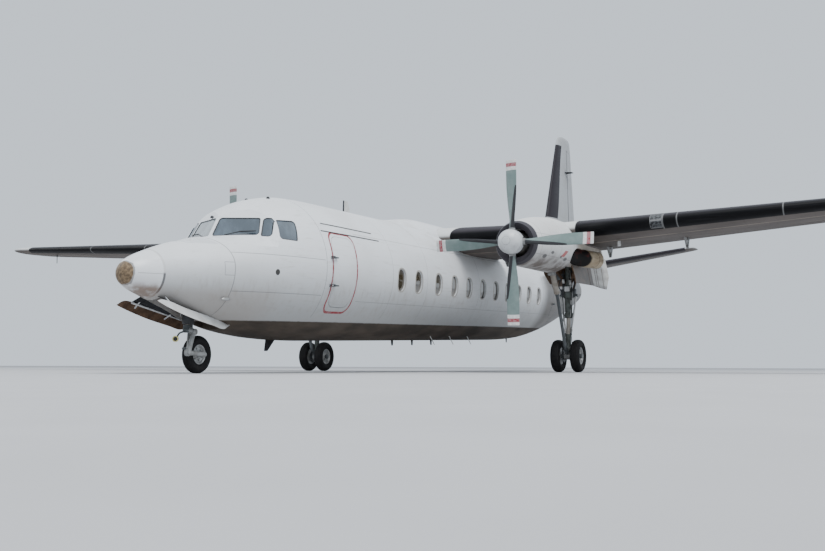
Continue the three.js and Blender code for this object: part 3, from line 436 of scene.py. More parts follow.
# Materials
class Shader:
    """A procedural material in the airframe frame: short calls that add nodes."""

    def __init__(self, name):
        self.material = bpy.data.materials.new(name)
        self.material.use_nodes = True
        self.tree = self.material.node_tree
        self.tree.nodes.clear()
        self.bsdf = self.tree.nodes.new("ShaderNodeBsdfPrincipled")
        output = self.tree.nodes.new("ShaderNodeOutputMaterial")
        self.tree.links.new(self.bsdf.outputs[0], output.inputs["Surface"])
        coords = self.tree.nodes.new("ShaderNodeTexCoord").outputs["Object"]
        mapping = self.tree.nodes.new("ShaderNodeMapping")
        mapping.vector_type = "TEXTURE"
        mapping.inputs["Location"].default_value = (MAIN_GEAR_X, 0, AXIS_HEIGHT)
        mapping.inputs["Rotation"].default_value = (0, PITCH, 0)
        self.tree.links.new(coords, mapping.inputs["Vector"])
        self.place = mapping.outputs[0]
        parts = self.tree.nodes.new("ShaderNodeSeparateXYZ")
        self.tree.links.new(self.place, parts.inputs[0])
        self.x, self.y, self.z = parts.outputs
        self.side = self.math("ABSOLUTE", self.y)

    def put(self, value, socket):
        if isinstance(value, bpy.types.NodeSocket):
            self.tree.links.new(value, socket)
        elif isinstance(value, (tuple, list)) and len(value) == 3 and socket.type == "RGBA":
            socket.default_value = (*value, 1)
        else:
            socket.default_value = value

    def math(self, operation, a, b=None, c=None):
        node = self.tree.nodes.new("ShaderNodeMath")
        node.operation = operation
        for value, socket in zip((a, b, c), node.inputs):
            if value is not None:
                self.put(value, socket)
        return node.outputs[0]

    def add(self, a, b):
        return self.math("ADD", a, b)

    def mul(self, a, b):
        return self.math("MULTIPLY", a, b)

    def both(self, *values):
        total = values[0]
        for value in values[1:]:
            total = self.mul(total, value)
        return total

    def either(self, *values):
        total = values[0]
        for value in values[1:]:
            total = self.math("MAXIMUM", total, value)
        return total

    def rise(self, value, low, high, to_low=0.0, to_high=1.0):
        """Smooth step from to_low to to_high as the value goes from low to high."""
        node = self.tree.nodes.new("ShaderNodeMapRange")
        node.interpolation_type = "SMOOTHSTEP"
        for item, socket in zip((value, low, high, to_low, to_high), node.inputs):
            self.put(item, socket)
        return node.outputs[0]

    def band(self, value, low, high, soft=0.004):
        return self.mul(self.rise(value, low - soft, low + soft), self.rise(value, high - soft, high + soft, 1.0, 0.0))

    def line(self, value, at, width=0.006):
        return self.band(value, at - width / 2, at + width / 2, width / 2)

    def every(self, value, step, width=0.005, shift=0.0):
        """Thin lines at every step of the value."""
        wave = self.math("PINGPONG", self.add(value, shift), step / 2)
        return self.rise(wave, 0.0, width, 1.0, 0.0)

    def radius(self, a, centre_a, b, centre_b):
        return self.math("SQRT", self.add(self.math("POWER", self.add(a, -centre_a), 2.0),
                                          self.math("POWER", self.add(b, -centre_b), 2.0)))

    def noise(self, scale, detail=4.0, rough=0.55, stretch=(1, 1, 1), shift=(0, 0, 0)):
        mapping = self.tree.nodes.new("ShaderNodeMapping")
        mapping.inputs["Location"].default_value = shift
        mapping.inputs["Scale"].default_value = stretch
        self.tree.links.new(self.place, mapping.inputs["Vector"])
        node = self.tree.nodes.new("ShaderNodeTexNoise")
        self.tree.links.new(mapping.outputs[0], node.inputs["Vector"])
        node.inputs["Scale"].default_value = scale
        node.inputs["Detail"].default_value = detail
        node.inputs["Roughness"].default_value = rough
        return node.outputs["Fac"]

    def spots(self, scale, low, high, stretch=(1, 1, 1), detail=4.0, shift=(0, 0, 0)):
        return self.rise(self.noise(scale, detail, stretch=stretch, shift=shift), low, high)

    def mix(self, factor, a, b):
        node = self.tree.nodes.new("ShaderNodeMix")
        node.data_type = "RGBA"
        self.put(factor, node.inputs["Factor"])
        self.put(a, node.inputs["A"])
        self.put(b, node.inputs["B"])
        return node.outputs["Result"]

    def bump(self, height, distance=0.002, strength=0.5):
        node = self.tree.nodes.new("ShaderNodeBump")
        node.inputs["Distance"].default_value = distance
        node.inputs["Strength"].default_value = strength
        self.put(height, node.inputs["Height"])
        self.tree.links.new(node.outputs[0], self.bsdf.inputs["Normal"])

    def done(self, color, rough, metal=0.0, **sockets):
        self.put(color, self.bsdf.inputs["Base Color"])
        self.put(rough, self.bsdf.inputs["Roughness"])
        self.put(metal, self.bsdf.inputs["Metallic"])
        for name, value in sockets.items():
            self.bsdf.inputs[name.replace("_", " ").title().replace("Ior", "IOR")].default_value = value
        return self.material


WHITE = (0.80, 0.82, 0.84)
DIRT = (0.30, 0.26, 0.21)
DOORS = {
    "door_front_port": {"x": 7.0, "half": 0.43, "bottom": -0.83, "top": 0.64, "side": 1},
    "door_rear_port": {"x": -6.45, "half": 0.4, "bottom": -0.8, "top": 0.78, "side": 1},
    "door_rear_starboard": {"x": -6.45, "half": 0.33, "bottom": -0.56, "top": 0.7, "side": -1},
}
DOOR_CORNER = 0.17
BELLY_LINE = -1.03


def rounded_distance(s, a, centre_a, half_a, b, centre_b, half_b, corner):
    """Distance from a rounded rectangle, below zero inside it."""
    along = s.add(s.math("ABSOLUTE", s.add(a, -centre_a)), corner - half_a)
    high = s.add(s.math("ABSOLUTE", s.add(b, -centre_b)), corner - half_b)
    out = s.math("SQRT", s.add(s.math("POWER", s.math("MAXIMUM", along, 0.0), 2.0),
                               s.math("POWER", s.math("MAXIMUM", high, 0.0), 2.0)))
    inside = s.math("MINIMUM", s.math("MAXIMUM", along, high), 0.0)
    return s.add(s.add(out, inside), -corner)


def weathered(s, color, dirt_share=0.35, streak=(0.35, 2.5, 3.5)):
    """Soft uneven dirt, streaks along the air flow, and fine specks over a paint colour."""
    cloud = s.spots(0.9, 0.38, 0.8, stretch=(0.6, 1, 1))
    streaks = s.spots(5.0, 0.5, 0.82, stretch=streak)
    specks = s.spots(38.0, 0.66, 0.8)
    dirt = s.mul(s.either(s.mul(cloud, 0.45), s.mul(streaks, 0.6), s.mul(specks, 0.5)), dirt_share)
    return s.mix(dirt, color, DIRT), dirt


# Joints round the body and the nacelle: x, width
BODY_SEAMS = [(9.911, 0.012), (7.66, 0.012), (5.0, 0.008), (3.3, 0.008), (0.2, 0.008), (-2.4, 0.008), (-4.95, 0.01),
              (-8.6, 0.01), (-10.3, 0.01)]
NACELLE_SEAMS = [(3.42, 0.01), (2.9, 0.008), (2.25, 0.01), (1.38, 0.016), (0.62, 0.01), (-0.5, 0.01), (-1.5, 0.01)]
# Joints along the body: z, width, from x, to x
LONG_SEAMS = [(0.105, 0.009, 7.7, 9.9), (-0.55, 0.009, 7.7, 9.9), (0.72, 0.007, -9.0, 6.4), (-0.62, 0.007, -9.0, 6.4)]
# Heat spots on the cowl: x, z, size
COWL_SPOTS = [(2.75, 0.50, 0.04), (2.1, 0.45, 0.035), (3.1, 0.40, 0.05), (1.75, 0.42, 0.05)]


def seam_rings(s, rows):
    return s.either(*[s.line(s.x, at, width) for at, width in rows])


def skin_seams(s):
    """Thin dark joints of the body skin: rings, long joints, and one patch near the nose."""
    front = s.band(s.z, -0.95, 1.3, 0.01)
    long = [s.mul(s.line(s.z, at, width), s.band(s.x, aft, ahead)) for at, width, aft, ahead in LONG_SEAMS]
    patch = s.math("ABSOLUTE", rounded_distance(s, s.x, 9.998, 0.086, s.z, -0.18, 0.11, 0.01))
    patch = s.mul(s.rise(patch, 0.002, 0.007, 1.0, 0.0), s.rise(s.y, 0.0, 0.1))
    return s.either(s.mul(seam_rings(s, BODY_SEAMS), front), *long, s.mul(patch, 0.8))


def rivet_rows(s):
    return s.both(s.every(s.x, 0.045, 0.006), s.every(s.z, 0.27, 0.005))


def body_paint():
    s = Shader("body_paint")
    color, dirt = weathered(s, WHITE, 0.42)
    # lower half greyer as painted shade, with runs of dirt above the belly line
    low = s.rise(s.z, -1.05, 0.25, 1.0, 0.0)
    color = s.mix(s.mul(low, 0.78), color, (0.27, 0.275, 0.27))
    runs = s.mul(s.spots(7.0, 0.45, 0.8, stretch=(1.5, 1.5, 0.12)), s.band(s.z, -1.02, -0.35, 0.12))
    color = s.mix(s.mul(runs, 0.38), color, (0.33, 0.29, 0.25))
    # body side darker upwards below the wing: painted shade of the wing, broken into patches
    near_wing = s.both(s.band(s.x, -2.5, 3.6, 0.7), s.rise(s.z, 0.35, 1.0))
    color = s.mix(s.both(near_wing, s.spots(2.2, 0.4, 0.75, stretch=(0.7, 1, 0.5)), 0.4), color, (0.42, 0.38, 0.33))
    # brown-grey under the nose round the nose bay: painted reflection of the ground
    nose_low = s.both(s.rise(s.x, 8.6, 9.4), s.rise(s.z, -0.62, -0.42, 1.0, 0.0))
    color = s.mix(s.mul(nose_low, 0.35), color, (0.36, 0.30, 0.25))
    seams = skin_seams(s)
    color = s.mix(s.mul(seams, 0.72), color, (0.10, 0.10, 0.10))
    color = s.mix(s.mul(rivet_rows(s), 0.16), color, (0.25, 0.25, 0.25))
    # red outline of the front door
    door = DOORS["door_front_port"]
    away = rounded_distance(s, s.x, door["x"], door["half"], s.z, (door["bottom"] + door["top"]) / 2,
                            (door["top"] - door["bottom"]) / 2, DOOR_CORNER)
    red = s.mul(s.band(away, 0.0, 0.042, 0.004), s.rise(s.y, 0.5, 0.6))
    red_wear = s.spots(14.0, 0.35, 0.55)
    color = s.mix(s.mul(red, s.rise(red_wear, 0.0, 1.0, 0.72, 0.98)), color, (0.27, 0.012, 0.020))
    # dark belly: a grey belly paint, made much darker as painted shade and reflection of the ground
    belly_noise = s.spots(2.4, 0.3, 0.7, stretch=(0.4, 1, 1))
    belly_color = s.mix(belly_noise, (0.038, 0.029, 0.022), (0.085, 0.066, 0.050))
    belly = s.rise(s.add(s.z, s.mul(s.noise(9.0, 2.0), 0.012)), BELLY_LINE - 0.006, BELLY_LINE + 0.018, 1.0, 0.0)
    belly = s.mul(belly, s.rise(s.x, 10.1, 10.6, 1.0, 0.0))
    color = s.mix(belly, color, belly_color)
    # aft of the cabin the dark belly colour, painted shade included, takes the sides of the tail cone too
    rear = s.both(s.rise(s.x, -5.6, -4.6, 1.0, 0.0),
                  s.rise(s.add(s.z, s.mul(s.x, 0.155)), -0.32, -0.22, 1.0, 0.0))
    color = s.mix(s.mul(rear, 0.85), color, belly_color)
    seam_height = s.mul(seams, -1.0)
    waves = s.mul(s.noise(2.6, 2.0, stretch=(1, 1, 1)), 0.6)
    s.bump(s.add(s.mul(seam_height, 0.5), waves), distance=0.006, strength=0.35)
    return s.done(color, s.add(s.mul(belly, 0.35), s.add(s.mul(dirt, 0.5), 0.38)), specular_ior_level=0.3)


def radome_paint():
    s = Shader("radome_paint")
    color, dirt = weathered(s, (0.82, 0.84, 0.86), 0.35)
    line = s.both(s.line(s.z, -0.315, 0.008), s.rise(s.x, 11.5, 11.52, 1.0, 0.0))
    rim = s.mul(s.rise(s.x, 11.075, 11.10, 1.0, 0.0), 0.5)
    color = s.mix(s.mul(line, 0.7), color, (0.15, 0.15, 0.15))
    color = s.mix(rim, color, (0.45, 0.44, 0.43))
    gap_low = s.both(s.rise(s.x, 11.086, 11.094, 1.0, 0.0), s.band(s.z, -0.62, -0.30, 0.02), s.rise(s.y, 0.0, 0.1))
    color = s.mix(s.mul(gap_low, 0.85), color, (0.07, 0.07, 0.075))
    worn = s.rise(s.add(s.x, s.mul(s.noise(9.0, 3.0), 0.06)), 11.585, 11.605)
    brown = s.mix(s.spots(24.0, 0.35, 0.65), (0.10, 0.065, 0.035), (0.24, 0.165, 0.09))
    edge = s.both(s.rise(s.add(s.x, s.mul(s.noise(9.0, 3.0), 0.06)), 11.57, 11.585), s.rise(worn, 0.0, 1.0, 1.0, 0.0))
    color = s.mix(worn, color, brown)
    color = s.mix(s.mul(edge, 0.7), color, (0.08, 0.07, 0.06))
    # brown on the lower radome: painted reflection of the ground
    low = s.mul(s.rise(s.z, -0.56, -0.42, 1.0, 0.0), s.spots(4.0, 0.3, 0.6))
    color = s.mix(s.mul(low, 0.85), color, (0.17, 0.095, 0.05))
    s.bump(s.add(s.mul(worn, -0.6), s.mul(s.noise(30.0, 3.0), 0.15)), distance=0.004, strength=0.4)
    return s.done(color, s.add(s.mul(worn, 0.35), s.add(s.mul(dirt, 0.5), 0.28)), coat_weight=0.1, coat_roughness=0.2)


def wing_paint():
    """Light above, darkened to brown-grey below as painted shade, with a black rubber boot along the leading edge."""
    s = Shader("wing_paint")
    color, dirt = weathered(s, (0.66, 0.67, 0.67), 0.4, streak=(0.5, 3.5, 3.5))
    under = s.add(s.z, s.mul(s.math("MAXIMUM", s.side, WING["level_to"]), -WING["dihedral"]))
    below = s.rise(under, WING["root_z"] - 0.03, WING["root_z"] + 0.05, 1.0, 0.0)
    # brown-grey underside: painted shade
    brown = s.mix(s.spots(2.0, 0.3, 0.75, stretch=(1, 0.4, 1)), (0.080, 0.062, 0.052), (0.125, 0.100, 0.086))
    color = s.mix(s.mul(below, 0.93), color, brown)
    share = chord_share(s)
    joints = s.either(s.every(s.side, 0.72, 0.004), s.line(share, 0.3, 0.004), s.line(share, 0.62, 0.004))
    color = s.mix(s.mul(joints, 0.4), color, (0.07, 0.065, 0.06))
    rivets = s.both(s.every(s.side, 0.06, 0.006), s.every(share, 0.08, 0.0025))
    color = s.mix(s.mul(rivets, 0.2), color, (0.08, 0.08, 0.08))
    pale = s.both(s.line(share, 0.285, 0.014), below, s.spots(6.0, 0.25, 0.5, stretch=(1, 0.5, 1)))
    color = s.mix(s.mul(pale, 0.75), color, (0.50, 0.42, 0.34))
    depth = s.rise(under, WING["root_z"] + 0.02, WING["root_z"] + 0.12, 0.092, 0.155)
    boot = s.rise(s.math("SUBTRACT", share, depth), -0.002, 0.002, 1.0, 0.0)
    inner = s.band(s.add(s.side, s.mul(share, -1.1)), 1.1, 2.86, 0.01)
    outer = s.band(s.side, 4.22, 13.57, 0.01)
    boot = s.mul(boot, s.either(inner, outer))
    boot_lines = s.either(*[s.line(s.side, at, 0.024) for at in (6.21, 6.52, 8.74, 10.9)])
    scuffs = s.spots(3.0, 0.55, 0.85, stretch=(1, 0.15, 4))
    # boot near-black low on the nose as painted shade, lighter on top as painted sheen
    boot_top = s.rise(under, WING["root_z"] + 0.05, WING["root_z"] + 0.16)
    boot_color = s.mix(boot_top, (0.004, 0.004, 0.005), (0.040, 0.036, 0.042))
    boot_color = s.mix(s.mul(scuffs, 0.3), boot_color, (0.07, 0.068, 0.075))
    boot_color = s.mix(s.mul(boot_lines, 0.55), boot_color, (0.34, 0.34, 0.34))
    lamp_away = rounded_distance(s, s.side, 6.06, 0.13, share, 0.03, 0.032, 0.01)
    lamp_glass = s.mix(s.spots(22.0, 0.35, 0.6), (0.016, 0.016, 0.018), (0.11, 0.115, 0.12))
    boot_color = s.mix(s.rise(lamp_away, -0.004, 0.0, 1.0, 0.0), boot_color, lamp_glass)
    boot_color = s.mix(s.mul(s.line(lamp_away, 0.0, 0.005), 0.7), boot_color, (0.50, 0.50, 0.50))
    color = s.mix(boot, color, boot_color)
    s.bump(s.add(s.mul(joints, -0.4), s.add(s.mul(boot, 0.5), s.mul(s.noise(3.0, 2.0), 0.5))), 0.004, 0.4)
    rough = s.add(s.mul(boot, -0.16), s.add(s.mul(dirt, 0.3), 0.6))
    return s.done(color, rough, specular_ior_level=0.12)


def chord_share(s):
    """Share of the wing chord behind the leading edge."""
    chord = s.add(s.mul(s.side, (WING["tip_chord"] - WING["root_chord"]) / HALF_SPAN), WING["root_chord"])
    lead = s.add(s.mul(chord, 0.25), WING["quarter_x"])
    return s.math("DIVIDE", s.math("SUBTRACT", lead, s.x), chord)


FIN_LEAD = {"at": 2.943, "x": -9.5, "sweep": 0.45, "boot_low": 0.73, "boot_high": 0.38}


def tail_paint():
    """Tail surfaces: white, darker and brown below as painted shade, black boots on the leading edges."""
    s = Shader("tail_paint")
    color, dirt = weathered(s, (0.44, 0.455, 0.47), 0.6)
    fin = s.rise(s.side, 0.30, 0.34, 1.0, 0.0)
    lead_fin = s.add(s.mul(s.add(s.z, -FIN_LEAD["at"]), -FIN_LEAD["sweep"]), FIN_LEAD["x"])
    behind_fin = s.math("SUBTRACT", lead_fin, s.x)
    boot_depth = s.rise(s.z, 2.9, 5.7, FIN_LEAD["boot_low"], FIN_LEAD["boot_high"])
    fin_boot = s.both(s.rise(s.math("SUBTRACT", behind_fin, boot_depth), -0.005, 0.005, 1.0, 0.0),
                      s.band(s.z, 2.92, 5.72, 0.01), fin)
    lead_tail = s.add(s.mul(s.side, -0.16), -9.45)
    behind_tail = s.math("SUBTRACT", lead_tail, s.x)
    tail_boot = s.both(s.rise(behind_tail, 0.2, 0.21, 1.0, 0.0), s.band(s.side, 0.95, 4.6, 0.01))
    # brown underside: painted shade
    below = s.mul(s.rise(s.math("SUBTRACT", s.add(s.z, -0.969), s.mul(s.side, 0.1416)), -0.02, 0.01, 1.0, 0.0),
                  s.rise(fin, 0.0, 1.0, 1.0, 0.0))
    brown = s.mix(s.spots(2.0, 0.3, 0.75), (0.075, 0.058, 0.048), (0.12, 0.097, 0.082))
    color = s.mix(s.mul(below, 0.9), color, brown)
    joints = s.either(s.mul(fin, s.every(s.z, 0.61, 0.004)),
                      s.mul(s.rise(fin, 0, 1, 1.0, 0.0), s.every(s.side, 0.55, 0.004)))
    color = s.mix(s.mul(joints, 0.4), color, (0.12, 0.12, 0.12))
    hinge = s.add(s.x, s.mul(s.z, 0.0067))
    upright = s.either(s.mul(s.line(hinge, -11.73, 0.04), 0.9), s.mul(s.line(hinge, -12.22, 0.02), 0.6))
    upright = s.both(upright, fin, s.band(s.z, 1.3, 5.66))
    color = s.mix(upright, color, (0.07, 0.07, 0.07))
    boot = s.either(fin_boot, tail_boot)
    color = s.mix(boot, color, (0.024, 0.021, 0.026))
    s.bump(s.add(s.mul(joints, -0.5), s.add(s.mul(boot, 0.5), s.mul(s.noise(3.0, 2.0), 0.4))), 0.004, 0.35)
    return s.done(color, s.add(s.mul(boot, -0.05), s.add(s.mul(dirt, 0.4), 0.5)), specular_ior_level=0.2)


def nacelle_paint():
    s = Shader("nacelle_paint")
    color, dirt = weathered(s, (0.74, 0.745, 0.74), 0.55, streak=(0.6, 3, 3))
    long = s.mul(s.either(s.line(s.z, 0.86, 0.008), s.line(s.z, 0.42, 0.008)), s.rise(s.x, 1.35, 1.4))
    joints = s.either(seam_rings(s, NACELLE_SEAMS), long)
    color = s.mix(s.mul(joints, 0.6), color, (0.10, 0.09, 0.08))
    rivets = s.both(s.every(s.x, 0.05, 0.007), s.every(s.z, 0.16, 0.006))
    color = s.mix(s.mul(rivets, 0.35), color, (0.15, 0.14, 0.13))
    # heat stains round and behind the exhaust outlet, on the outer side
    offset = s.add(s.side, -NACELLE_Y)
    outer = s.rise(offset, 0.1, 0.3)
    aft = s.rise(s.x, 0.9, 1.3, 1.0, 0.0)
    heat = s.both(outer, aft, s.rise(s.x, -1.9, -1.2))
    beige = s.mix(s.spots(3.2, 0.3, 0.7, stretch=(0.7, 1, 1)), (0.46, 0.38, 0.27), (0.60, 0.54, 0.44))
    color = s.mix(s.mul(heat, 0.75), color, beige)
    soot = s.both(heat, s.spots(4.5, 0.5, 0.72, stretch=(0.35, 1, 1.4)))
    color = s.mix(s.mul(soot, 0.75), color, (0.10, 0.055, 0.03))
    # darker brown underneath: painted shade
    under = s.mul(s.rise(s.z, 0.24, 0.62, 1.0, 0.0), s.rise(s.spots(3.5, 0.3, 0.7), 0, 1, 0.55, 1.0))
    color = s.mix(s.mul(under, 0.9), color, (0.085, 0.058, 0.042))
    for spot_x, spot_z, size in COWL_SPOTS:
        spot = s.rise(s.radius(s.mul(s.x, 0.35), spot_x * 0.35, s.z, spot_z), size * 0.6, size, 1.0, 0.0)
        color = s.mix(s.both(spot, outer, 0.8), color, (0.05, 0.045, 0.045))
    patches = s.both(s.spots(6.0, 0.66, 0.72, stretch=(1, 1, 1.6)), s.rise(s.x, 1.4, 1.6))
    color = s.mix(s.mul(patches, 0.55), color, (0.86, 0.85, 0.82))
    lip = s.rise(s.x, 3.60, 3.61)
    color = s.mix(lip, color, (0.050, 0.046, 0.054))
    red_patch = s.both(s.band(s.add(s.x, s.mul(s.z, 1.2)), 2.46, 2.68, 0.02), s.band(s.z, 0.46, 0.60, 0.006), outer)
    color = s.mix(s.mul(red_patch, 0.85), color, (0.45, 0.05, 0.05))
    s.bump(s.add(s.mul(joints, -0.7), s.add(s.mul(rivets, 0.3), s.mul(s.noise(3.5, 2.0), 0.6))), 0.005, 0.4)
    return s.done(color, s.add(s.mul(dirt, 0.4), 0.46), specular_ior_level=0.3)


def exhaust_skin():
    """Exhaust pipe: sooty red-brown where it leaves the cowl, beige and streaked behind."""
    s = Shader("exhaust_skin")
    dark = s.mix(s.spots(5.0, 0.5, 0.7), (0.006, 0.005, 0.005), (0.060, 0.014, 0.011))
    beige = s.mix(s.spots(4.0, 0.3, 0.7, stretch=(0.6, 1, 1)), (0.50, 0.42, 0.30), (0.30, 0.22, 0.14))
    beige = s.mix(s.mul(s.spots(5.0, 0.55, 0.75, stretch=(0.3, 1, 1.6)), 0.7), beige, (0.09, 0.06, 0.04))
    ring = s.line(s.x, 0.32, 0.02)
    beige = s.mix(s.mul(ring, 0.7), beige, (0.12, 0.08, 0.05))
    end = s.rise(s.x, 0.12, 0.16, 1.0, 0.0)
    color = s.mix(s.rise(s.add(s.x, s.mul(s.noise(7.0), 0.1)), 0.62, 0.68), beige, dark)
    color = s.mix(end, color, (0.045, 0.03, 0.022))
    s.bump(s.add(s.mul(ring, -0.5), s.noise(8.0, 3.0)), 0.004, 0.4)
    return s.done(color, 0.65, 0.0, specular_ior_level=0.25)


def plain(name, color, rough, metal=0.0, vary=0.35, scale=8.0, dark=None, bump=0.001, coat=0.0):
    """A paint, metal or rubber with uneven tone, grime in patches and a fine surface."""
    s = Shader(name)
    shade = dark or tuple(c * 0.45 for c in color)
    tone = s.mul(s.spots(scale, 0.3, 0.75), vary)
    fine = s.mul(s.spots(scale * 9, 0.45, 0.8), vary * 0.5)
    mixed = s.mix(s.either(tone, fine), color, shade)
    s.bump(s.add(s.noise(scale * 14, 3.0), s.mul(s.noise(scale, 2.0), 0.6)), bump, 0.35)
    return s.done(mixed, s.add(s.mul(tone, 0.35), rough), metal, coat_weight=coat)


# Radii of the propeller's white tip and of the red band on it
TIP_WHITE = (1.532, 1.538)
TIP_RED = (1.612, 1.692)


def tip_marks(s, color, share, white, red):
    """The white tip and its red band over a blade's colour."""
    r = s.radius(s.side, NACELLE_Y, s.z, HUB[2])
    color = s.mix(s.mul(s.rise(r, *TIP_WHITE), share), color, white)
    return s.mix(s.mul(s.band(r, *TIP_RED, 0.003), share), color, red)


def blade_paint():
    s = Shader("blade_paint")
    r = s.radius(s.side, NACELLE_Y, s.z, HUB[2])
    color = s.mix(s.spots(5.0, 0.35, 0.8), (0.150, 0.210, 0.200), (0.205, 0.262, 0.250))
    nicks = s.spots(26.0, 0.62, 0.74)
    color = s.mix(s.mul(nicks, 0.4), color, (0.13, 0.15, 0.15))
    inner = s.rise(r, 0.36, 0.42, 1.0, 0.0)
    color = s.mix(s.mul(inner, 0.6), color, (0.12, 0.13, 0.13))
    wear = s.rise(s.spots(20.0, 0.4, 0.7), 0.0, 1.0, 0.75, 1.0)
    color = tip_marks(s, color, wear, (0.78, 0.77, 0.75), (0.30, 0.035, 0.05))
    s.bump(s.noise(60.0, 2.0), 0.0006, 0.3)
    return s.done(color, s.rise(nicks, 0.0, 1.0, 0.42, 0.6))


def blade_back():
    s = Shader("blade_back")
    color = s.mix(s.spots(6.0, 0.4, 0.8), (0.02, 0.02, 0.022), (0.055, 0.055, 0.06))
    color = tip_marks(s, color, 0.9, (0.72, 0.71, 0.69), (0.28, 0.03, 0.045))
    s.bump(s.noise(60.0, 2.0), 0.0006, 0.3)
    return s.done(color, 0.55)


def spinner_paint():
    s = Shader("spinner_paint")
    r = s.radius(s.side, NACELLE_Y, s.z, HUB[2])
    color = s.mix(s.spots(5.0, 0.35, 0.75), (0.62, 0.64, 0.65), (0.48, 0.49, 0.50))
    chips = s.spots(30.0, 0.64, 0.72)
    color = s.mix(s.mul(chips, 0.6), color, (0.20, 0.19, 0.18))
    joint = s.either(s.line(s.x, 4.055, 0.006), s.line(r, 0.09, 0.005))
    color = s.mix(s.mul(joint, 0.8), color, (0.09, 0.09, 0.09))
    s.bump(s.add(s.mul(joint, -0.7), s.mul(s.noise(40.0, 2.0), 0.2)), 0.003, 0.4)
    return s.done(color, s.rise(chips, 0.0, 1.0, 0.34, 0.6), coat_weight=0.2)


def tyre_rubber(name, centre_y, half_tread, groove):
    """Rubber with grooves round the tread and patches of dust."""
    s = Shader(name)
    across = s.math("ABSOLUTE", s.add(s.side, -centre_y)) if centre_y else s.side
    grooves = s.mul(s.every(across, groove, 0.006), s.rise(across, half_tread - 0.004, half_tread, 1.0, 0.0))
    dust = s.spots(12.0, 0.4, 0.75)
    color = s.mix(s.mul(dust, 0.35), (0.008, 0.008, 0.009), (0.040, 0.037, 0.034))
    color = s.mix(s.mul(grooves, 0.8), color, (0.006, 0.006, 0.006))
    s.bump(s.add(s.mul(grooves, -1.0), s.mul(s.noise(90.0, 2.0), 0.15)), 0.006, 0.7)
    return s.done(color, s.rise(dust, 0.0, 1.0, 0.7, 0.9), specular_ior_level=0.2)


def dark_glass(name, tint, rough=0.06):
    s = Shader(name)
    streaks = s.spots(4.0, 0.4, 0.8, stretch=(1, 1, 0.3))
    smears = s.spots(18.0, 0.55, 0.8)
    color = s.mix(streaks, tint, tuple(c * 1.9 for c in tint))
    s.bump(s.noise(2.0, 1.0), 0.002, 0.05)
    return s.done(color, s.rise(smears, 0.0, 1.0, rough, rough + 0.12), coat_weight=1.0, coat_roughness=0.03,
                  specular_ior_level=0.8)


M = {
    "body": body_paint(),
    "radome": radome_paint(),
    "wing": wing_paint(),
    "tail": tail_paint(),
    "nacelle": nacelle_paint(),
    "blade": blade_paint(),
    "blade_back": blade_back(),
    "spinner": spinner_paint(),
    "seam": plain("seam_shadow", (0.05, 0.048, 0.045), 0.7),
    "reveal": plain("window_reveal", (0.22, 0.135, 0.055), 0.4, vary=0.6, scale=10.0, dark=(0.03, 0.018, 0.010)),
    "rim_ring": plain("window_rim", (0.46, 0.44, 0.40), 0.4, vary=0.5, scale=14.0),
    "seal": plain("pane_seal", (0.035, 0.036, 0.038), 0.6),
    "cabin_glass": dark_glass("cabin_glass", (0.050, 0.038, 0.022)),
    "cockpit_glass": dark_glass("cockpit_glass", (0.055, 0.075, 0.095)),
    # near black for bay walls and the hollows of the cowl, wing and tail: painted shade
    "cavity": plain("bay_interior", (0.012, 0.009, 0.008), 0.9, vary=0.7, scale=5.0, dark=(0.003, 0.0025, 0.002)),
    "door_inside": plain("door_inside", (0.115, 0.062, 0.032), 0.75, vary=0.7, scale=7.0, dark=(0.022, 0.013, 0.009)),
    "door_edge": plain("door_outside", (0.66, 0.67, 0.67), 0.42, vary=0.45, scale=4.0, dark=(0.33, 0.30, 0.26)),
    "gear_grey": plain("gear_grey", (0.34, 0.35, 0.35), 0.42, 0.2, vary=0.65, scale=9.0, dark=(0.10, 0.085, 0.07)),
    "gear_dark": plain("gear_dark", (0.10, 0.11, 0.115), 0.4, 0.3, vary=0.6, scale=9.0),
    "chrome": plain("piston_steel", (0.36, 0.33, 0.29), 0.34, 0.75, vary=0.5, scale=9.0),
    "leg_paint": plain("leg_paint", (0.10, 0.115, 0.105), 0.42, 0.15, vary=0.7, scale=9.0, dark=(0.030, 0.026, 0.020)),
    "strut_paint": plain("strut_paint", (0.34, 0.31, 0.27), 0.5, vary=0.6, scale=6.0, dark=(0.12, 0.09, 0.065)),
    "rim": plain("wheel_metal", (0.46, 0.47, 0.47), 0.38, 0.35, vary=0.6, scale=14.0, dark=(0.16, 0.14, 0.12)),
    "hose": plain("hose_rubber", (0.022, 0.022, 0.024), 0.5),
    "soot": exhaust_skin(),
    "duct": plain("intake_duct", (0.05, 0.052, 0.056), 0.5, 0.4),
    "metal": plain("bare_metal", (0.55, 0.55, 0.54), 0.3, 0.85, vary=0.5, scale=12.0),
    "mast": plain("mast_paint", (0.62, 0.62, 0.60), 0.45, vary=0.4),
    "yellow": plain("lamp_rim", (0.80, 0.72, 0.30), 0.4, vary=0.3),
    "boot": plain("boot_rubber", (0.022, 0.022, 0.025), 0.32, vary=0.4, scale=10.0),
    "main_tyre": tyre_rubber("main_tyre", 3.6 + 0.245, 0.075, 0.05),
    "nose_tyre": tyre_rubber("nose_tyre", 0.0, 0.05, 0.04),
    "engine": plain("engine_metal", (0.30, 0.29, 0.28), 0.4, 0.8, vary=0.6),
}


